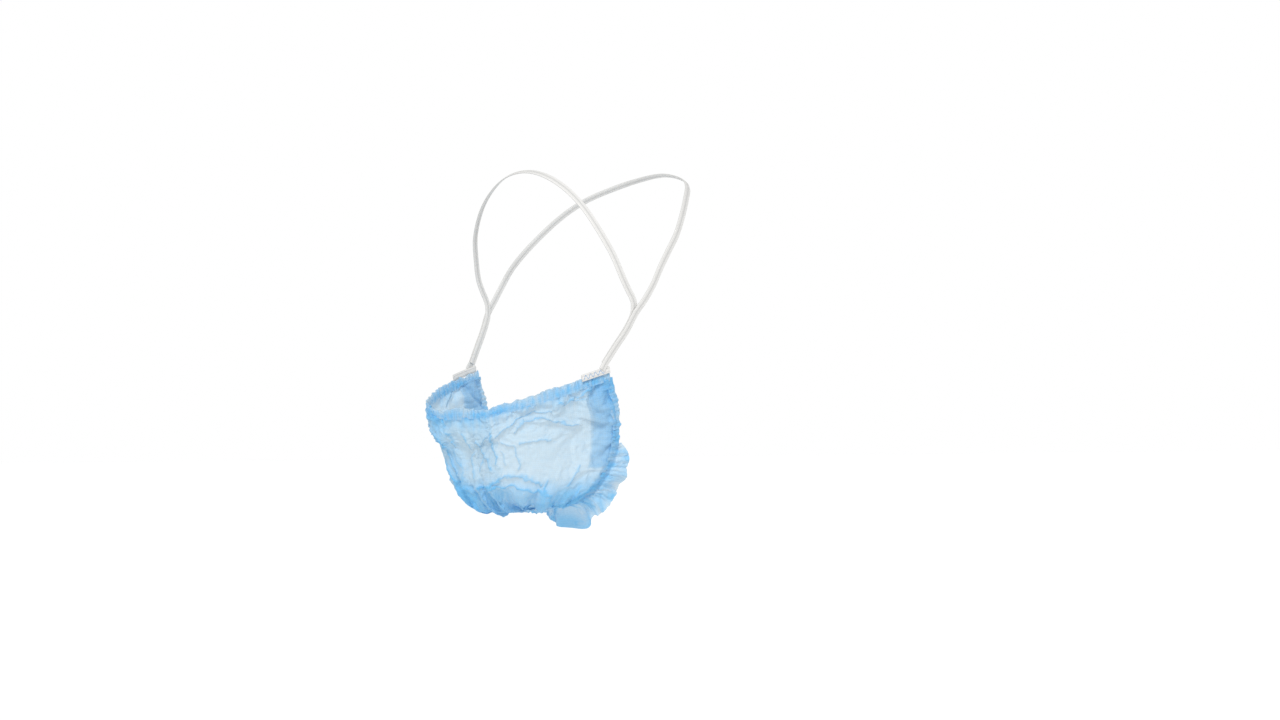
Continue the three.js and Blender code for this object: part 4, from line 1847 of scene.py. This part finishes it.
def stations_of(node: str, first: Callable[[Vector], float]) -> list[Station]:
    """Reads a packed bar's cuts in order from its own corners.

    Args:
        node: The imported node's name.
        first: Lowest for the four corners of the end to start from.

    Returns:
        The cuts from that end to the other.
    """
    bm = bmesh.new()
    bm.from_mesh(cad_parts[node].data)
    bmesh.ops.remove_doubles(bm, verts=bm.verts[:], dist=SAME_CORNER)
    bm.verts.index_update()
    level = sorted(bm.verts, key=lambda vert: first(vert.co))[:CORNERS]
    seen = set(level)
    cuts: list[Station] = []
    while level:
        corners = [vert.co.copy() for vert in level]
        mate = min(corners[1:], key=lambda p: (p - corners[0]).length)
        others = [p for p in corners[1:] if p is not mate]
        middle = sum(corners, Vector()) / CORNERS
        across = ((corners[0] + mate) / 2 - (others[0] + others[1]) / 2).normalized()
        if cuts and across.dot(cuts[-1].across) < 0:
            across.negate()
        cuts.append(Station(middle, across, Vector()))
        near = {edge.other_vert(vert) for vert in level for edge in vert.link_edges} - seen
        level = sorted(near, key=lambda vert: vert.index)
        seen |= near
        if len(level) != CORNERS:
            break
    bm.free()
    for k, cut in enumerate(cuts):
        run = cuts[min(k + 1, len(cuts) - 1)].middle - cuts[max(k - 1, 0)].middle
        cut.out = crossed(run, cut.across)
        if k and cut.out.dot(cuts[k - 1].out) < 0:
            cut.out.negate()
    return cuts


def through(a: Vector, b: Vector, c: Vector, d: Vector, t: float) -> Vector:
    """Gives a point of a smooth curve through four points.

    Args:
        a: The point before the stretch.
        b: Where the stretch starts.
        c: Where it ends.
        d: The point after it.
        t: The share of the way from b to c.

    Returns:
        The point.
    """
    t2 = t * t
    t3 = t2 * t
    return 0.5 * (2 * b + (c - a) * t + (2 * a - 5 * b + 4 * c - d) * t2 + (3 * b - a - 3 * c + d) * t3)


def lengthened(cuts: list[Station], spare: float, lift: float) -> list[Station]:
    """Carries a band on past both its ends, over the sewn ends.

    Args:
        cuts: The band's cuts.
        spare: How much longer each end gets.
        lift: How far outward, away from the middle of the net, the new ends move.

    Returns:
        The cuts with three more at each end.
    """

    def onward(last: Station, before: Station) -> list[Station]:
        """Makes three cuts past the last one.

        Args:
            last: The band's last cut at this end.
            before: The cut before it.

        Returns:
            The new cuts in order.
        """
        run = (last.middle - before.middle).normalized()
        aside = last.out if last.out.x * last.middle.x > 0 else -last.out
        made = []
        for share in (0.34, 0.67, 1.0):
            middle = last.middle + run * (spare * share) + aside * (lift * min(1.5 * share, 1.0))
            made.append(Station(middle, last.across, last.out))
        return made

    return onward(cuts[0], cuts[1])[::-1] + cuts + onward(cuts[-1], cuts[-2])


@dataclass
class KnittedBand:
    """A flat knitted elastic that follows the cuts of a packed band.

    Attributes:
        name: The piece's name.
        cuts: The cuts from one end to the other.
        wide: Its width.
        thick: Its thickness.
        square: How square its section is, where 1 is an ellipse and less is squarer.
        course: The length of one stitch.
        wales: How many columns of stitches lie side by side.
        relief: The height of a stitch.
        waist: How much each course changes the width, as a share.
        step: The length of one cell of the grid.
        around: Cells of the grid round the section.
    """

    name: str
    cuts: list[Station]
    wide: float = 4.4 * MM
    thick: float = 0.8 * MM
    square: float = 0.55
    course: float = 0.85 * MM
    wales: int = 4
    relief: float = 0.16 * MM
    waist: float = 0.02
    step: float = 0.17 * MM
    around: int = 36

    def build(self) -> bpy.types.Object:
        """Makes the band as a grid bent into a flat closed tube with knitted faces.

        Returns:
            The finished piece, with its knit attribute.
        """
        cuts = self.cuts
        last = len(cuts) - 1
        runs = [(b.middle - a.middle).length for a, b in zip(cuts, cuts[1:])]
        along = np.concatenate([[0.0], np.cumsum(runs)])
        total = float(along[-1])

        def cut_at(share: float) -> Station:
            """Gives the smooth cut part of the way along the band.

            Args:
                share: Share along the band.

            Returns:
                The cut.
            """
            where = min(float(np.interp(share * total, along, np.arange(last + 1))), last - JUST)
            k = int(where)
            t = where - k
            near = [cuts[min(max(k + d, 0), last)] for d in (-1, 0, 1, 2)]
            middle = through(*(cut.middle for cut in near), t)
            across = near[1].across.lerp(near[2].across, t).normalized()
            out = near[1].out.lerp(near[2].out, t).normalized()
            return Station(middle, across, out)

        def placed(u: float, v: float) -> Vector:
            """Places a point of the band.

            Args:
                u: Share along the band.
                v: Share of the way round it.

            Returns:
                The point.
            """
            cut = cut_at(u)
            x, y = self.rounded(v)
            high = self.relief * (self.knit(u * total, x, y > 0) - 0.5) * ramp(0.98 - abs(x), 0.1)
            edge = 1 + self.waist * math.sin(2 * math.pi * u * total / self.course)
            up = self.thick / 2 * y + math.copysign(high, y)
            return cut.middle + cut.across * (self.wide / 2 * x * edge) + cut.out * up

        piece = grid_piece(self.name, round(total / self.step), self.around, placed, closed_down=True)
        close_ends(piece)
        heights = []
        for u, v in uv_of(piece.data):
            x, y = self.rounded(v)
            heights.append(self.knit(u * total, x, y > 0))
        store(piece, KNIT, heights)
        return piece

    def rounded(self, v: float) -> tuple[float, float]:
        """Gives a place on the band's flat, round-edged section.

        Args:
            v: Share of the way round it.

        Returns:
            How far across and how far out the place is, both from -1 to 1.
        """
        c = math.cos(2 * math.pi * v)
        s = math.sin(2 * math.pi * v)
        return math.copysign(abs(c) ** self.square, c), math.copysign(abs(s) ** self.square, s)

    def knit(self, along: float, x: float, front: bool) -> float:
        """Gives the height of the knit: chevron stitches in wales along the band.

        Args:
            along: How far along the band, in metres.
            x: From -1 at one edge to 1 at the other.
            front: Which face.

        Returns:
            From 0 in a gap to 1 on a stitch.
        """
        column = (x + 1) / 2 * self.wales
        inside = column - math.floor(column)
        slant = abs(inside - 0.5) * 0.8
        uneven = 0.25 * rough(along * 260.0, column * 0.6, 2.0)
        rows = along / self.course + slant + uneven + (0.5 if front else 0.0)
        rows += 0.5 * (math.floor(column) % 2)
        stitch = 0.5 + 0.5 * math.cos(2 * math.pi * rows)
        groove = math.sin(math.pi * inside) ** 0.5
        return stitch**0.7 * groove


@dataclass
class SewnEnd:
    """The end of the elastic at one corner, sewn along the top hem with a zigzag.

    Attributes:
        side: The corner's side.
        thick: The strip's thickness.
        around: Cells of the grid round the strip.
        thread: Half the thread's thickness.
        zigs: How many straight stitches the zigzag has.
        zig_steps: Cells of the grid along one stitch.
        thread_around: Cells of the grid round the thread.
        from_share: Where the zigzag starts, as a share of the strip.
        to_share: Where it ends.
        swing: How far it swings to each side of the middle.
        lift: How far above the strip's middle it lies.
        dip: How far it dips at each needle hole.
    """

    side: Side
    thick: float = 1.0 * MM
    around: int = 34
    thread: float = 0.17 * MM
    zigs: int = 9
    zig_steps: int = 10
    thread_around: int = 8
    from_share: float = 0.15
    to_share: float = 0.95
    swing: float = 1.5 * MM
    lift: float = 0.62 * MM
    dip: float = 0.12 * MM

    def build(self) -> tuple[bpy.types.Object, bpy.types.Object]:
        """Makes the strip and its stitches.

        Returns:
            The strip and the thread.
        """
        word = self.side.word
        cuts = stations_of(f"{word}_sewn_end", lambda p: -p.y)
        for cut in cuts:
            if cut.out.x * self.side.value < 0:
                cut.out.negate()
        band = KnittedBand(f"{word}_sewn_elastic", cuts, thick=self.thick, around=self.around)
        return band.build(), self.stitch(f"{word}_end_stitches", cuts)

    def stitch(self, name: str, cuts: list[Station]) -> bpy.types.Object:
        """Lays a zigzag of thread over the strip's outer face.

        Args:
            name: The thread's name.
            cuts: The strip's cuts.

        Returns:
            The thread.
        """
        last = len(cuts) - 1
        corners: list[Vector] = []
        for k in range(self.zigs + 1):
            where = blend(self.from_share, self.to_share, k / self.zigs) * last
            a = cuts[int(where)]
            b = cuts[min(int(where) + 1, last)]
            middle = a.middle.lerp(b.middle, where - int(where))
            swing = self.swing if k % 2 else -self.swing
            corners.append(middle + a.across * swing + a.out * self.lift)

        def placed(u: float, v: float) -> Vector:
            """Places a point of the thread.

            Args:
                u: Share along the thread.
                v: Share of the way round it.

            Returns:
                The point.
            """
            where = min(u * self.zigs, self.zigs - JUST)
            k = int(where)
            t = where - k
            a = corners[k]
            b = corners[k + 1]
            out = cuts[min(int(blend(self.from_share, self.to_share, u) * last), last)].out
            side = crossed((b - a).normalized(), out)
            dip = -self.dip * abs(math.cos(math.pi * t)) ** 8
            turn = 2 * math.pi * v
            round_it = side * math.cos(turn) + out * math.sin(turn)
            return a.lerp(b, t) + out * dip + round_it * self.thread

        steps = self.zigs * self.zig_steps
        piece = grid_piece(name, steps, self.thread_around, placed, closed_down=True)
        close_ends(piece)
        return piece


@dataclass
class Studio:
    """The camera at the photograph's angle, a pale floor and soft light. Angles are in degrees.

    Attributes:
        azimuth: How far left of the front the camera stands.
        distance: How far away it stands.
        seen_width: The width that it sees at the net.
        right_of_centre: How far right of the centre line it aims.
        turned_about: Where the centre line stands along Y.
        aim_height: How high it aims.
        sensor: The width of its sensor in millimetres.
        clip_start: The nearest distance that it sees.
        clip_end: The farthest.
        floor_height: How high the floor lies.
        floor_size: Half the floor's width.
        surround: How bright the surround lights the net.
        key_power: How strong the light is.
        key_angle: How broad it looks from the net.
        key_azimuth: How far left of the front it stands.
        key_elevation: How high it stands.
        key_distance: How far away its marker stands.
    """

    azimuth: float = 52.0
    distance: float = 5.0
    seen_width: float = 819.0 * MM
    right_of_centre: float = 37.4 * MM
    turned_about: float = 66.0 * MM
    aim_height: float = 97.3 * MM
    sensor: float = 36.0
    clip_start: float = 0.05
    clip_end: float = 100.0
    floor_height: float = -0.6
    floor_size: float = 40.0
    surround: float = 0.72
    key_power: float = 1.9
    key_angle: float = 18.0
    key_azimuth: float = 42.0
    key_elevation: float = 38.0
    key_distance: float = 3.0

    def camera(self) -> None:
        """Sets a long lens level with the net."""
        a = math.radians(self.azimuth)
        back = Vector((math.sin(a), -math.cos(a), 0.0))
        right = Vector((math.cos(a), math.sin(a), 0.0))
        aim = Vector((0.0, self.turned_about, self.aim_height)) + right * self.right_of_centre
        data = bpy.data.cameras.new("camera")
        data.sensor_width = self.sensor
        data.lens = self.sensor * self.distance / self.seen_width
        data.clip_start = self.clip_start
        data.clip_end = self.clip_end
        camera = linked("camera", data)
        camera.location = aim + back * self.distance
        camera.rotation_euler = (-back).to_track_quat("-Z", "Y").to_euler()
        bpy.context.scene.camera = camera

    def floor(self) -> None:
        """Makes the floor."""
        bm = bmesh.new()
        bmesh.ops.create_grid(bm, x_segments=4, y_segments=4, size=self.floor_size)
        bmesh.ops.translate(bm, verts=bm.verts[:], vec=(0.0, 0.0, self.floor_height))
        mesh = bpy.data.meshes.new("floor")
        bm.to_mesh(mesh)
        bm.free()
        mesh.materials.append(FloorFinish().make())
        piece = linked("floor", mesh)

    def light(self) -> None:
        """Sets a white surround and one broad, soft light from above, right of the camera."""
        world = bpy.data.worlds.new("surround")
        world.use_nodes = True
        tree = world.node_tree
        sky = tree.nodes["Background"]
        sky.inputs["Color"].default_value = (1.0, 1.0, 1.0, 1.0)
        path = tree.nodes.new("ShaderNodeLightPath")
        power = tree.nodes.new("ShaderNodeMapRange")
        power.inputs["To Min"].default_value = self.surround
        power.inputs["To Max"].default_value = 1.0
        tree.links.new(path.outputs["Is Camera Ray"], power.inputs["Value"])
        tree.links.new(power.outputs[0], sky.inputs["Strength"])
        bpy.context.scene.world = world
        data = bpy.data.lights.new("key", "SUN")
        data.energy = self.key_power
        data.angle = math.radians(self.key_angle)
        lamp = linked("key", data)
        a = math.radians(self.key_azimuth)
        e = math.radians(self.key_elevation)
        toward = Vector((math.sin(a) * math.cos(e), -math.cos(a) * math.cos(e), math.sin(e)))
        lamp.rotation_euler = (-toward).to_track_quat("-Z", "Y").to_euler()
        lamp.location = toward * self.key_distance
        bpy.context.scene.view_settings.view_transform = "Standard"


def dress(piece: bpy.types.Object, material: bpy.types.Material, slot: str, *nodes: str) -> None:
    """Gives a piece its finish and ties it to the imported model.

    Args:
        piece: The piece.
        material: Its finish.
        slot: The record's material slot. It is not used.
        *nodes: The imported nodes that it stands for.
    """
    piece.data.materials.clear()
    piece.data.materials.append(material)
    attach(piece, "root")
    if nodes:
        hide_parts(*nodes)
    log.info("%s: %d points, %d faces", piece.name, len(piece.data.vertices), len(piece.data.polygons))


def main() -> None:
    """Builds the studio and every piece of the net."""
    logging.basicConfig(level=logging.INFO, format="%(message)s")
    noise.seed_set(NOISE_SEED)
    studio = Studio()
    studio.camera()
    studio.floor()
    studio.light()

    panel = NonwovenFinish("panel cloth").make()
    bunched = NonwovenFinish("gathered cloth", thin=0.76, creased=0.0, through=0.25, down=0.014).make()
    loose = NonwovenFinish(
        "frill cloth", thin=0.8, creased=0.1, down=0.02, across=0.21, points=0.03
    ).make()
    elastic = ElasticFinish().make()
    thread = ThreadFinish().make()

    form = PouchForm()
    pouch = Pouch(form).build()
    dress(pouch, panel, "net_cloth", "net_pouch")
    for side in Side:
        piece = TurnedEdge(side, form).build(pouch)
        dress(piece, panel, "net_cloth", f"{side.word}_turned_edge")
    top = GatheredHem("top_hem_cloth", HemPath.top(form), steps=840, tight=(0.08, 0.59, 0.96)).build()
    dress(top, bunched, "gathered_cloth", "top_hem")
    rear_hem = GatheredHem(
        "rear_hem_cloth",
        HemPath.rear(form),
        wide=4.0 * MM,
        lap=2.2 * MM,
        wave=0.6 * MM,
        deep=0.85,
        pale_tips=0.2,
        end_share=0.4,
        seed=9.0,
    )
    rear = rear_hem.build()
    dress(rear, bunched, "gathered_cloth", "rear_hem")
    frill = Frill(rear_hem).build()
    dress(frill, loose, "frill_cloth", "lower_frill")
    for word in ("front", "rear"):
        cuts = stations_of(f"{word}_head_band", lambda p: p.z if p.x > 0 else ABOVE_ALL)
        if word == "rear":
            cuts = lengthened(cuts, spare=4.6 * MM, lift=0.75 * MM)
        band = KnittedBand(f"{word}_knitted_band", cuts).build()
        dress(band, elastic, "knitted_elastic", f"{word}_head_band")
    for side in Side:
        strip, stitches = SewnEnd(side).build()
        dress(strip, elastic, "knitted_elastic", f"{side.word}_sewn_end")
        dress(stitches, thread, "knitted_elastic")


if __name__ == "__main__":
    main()
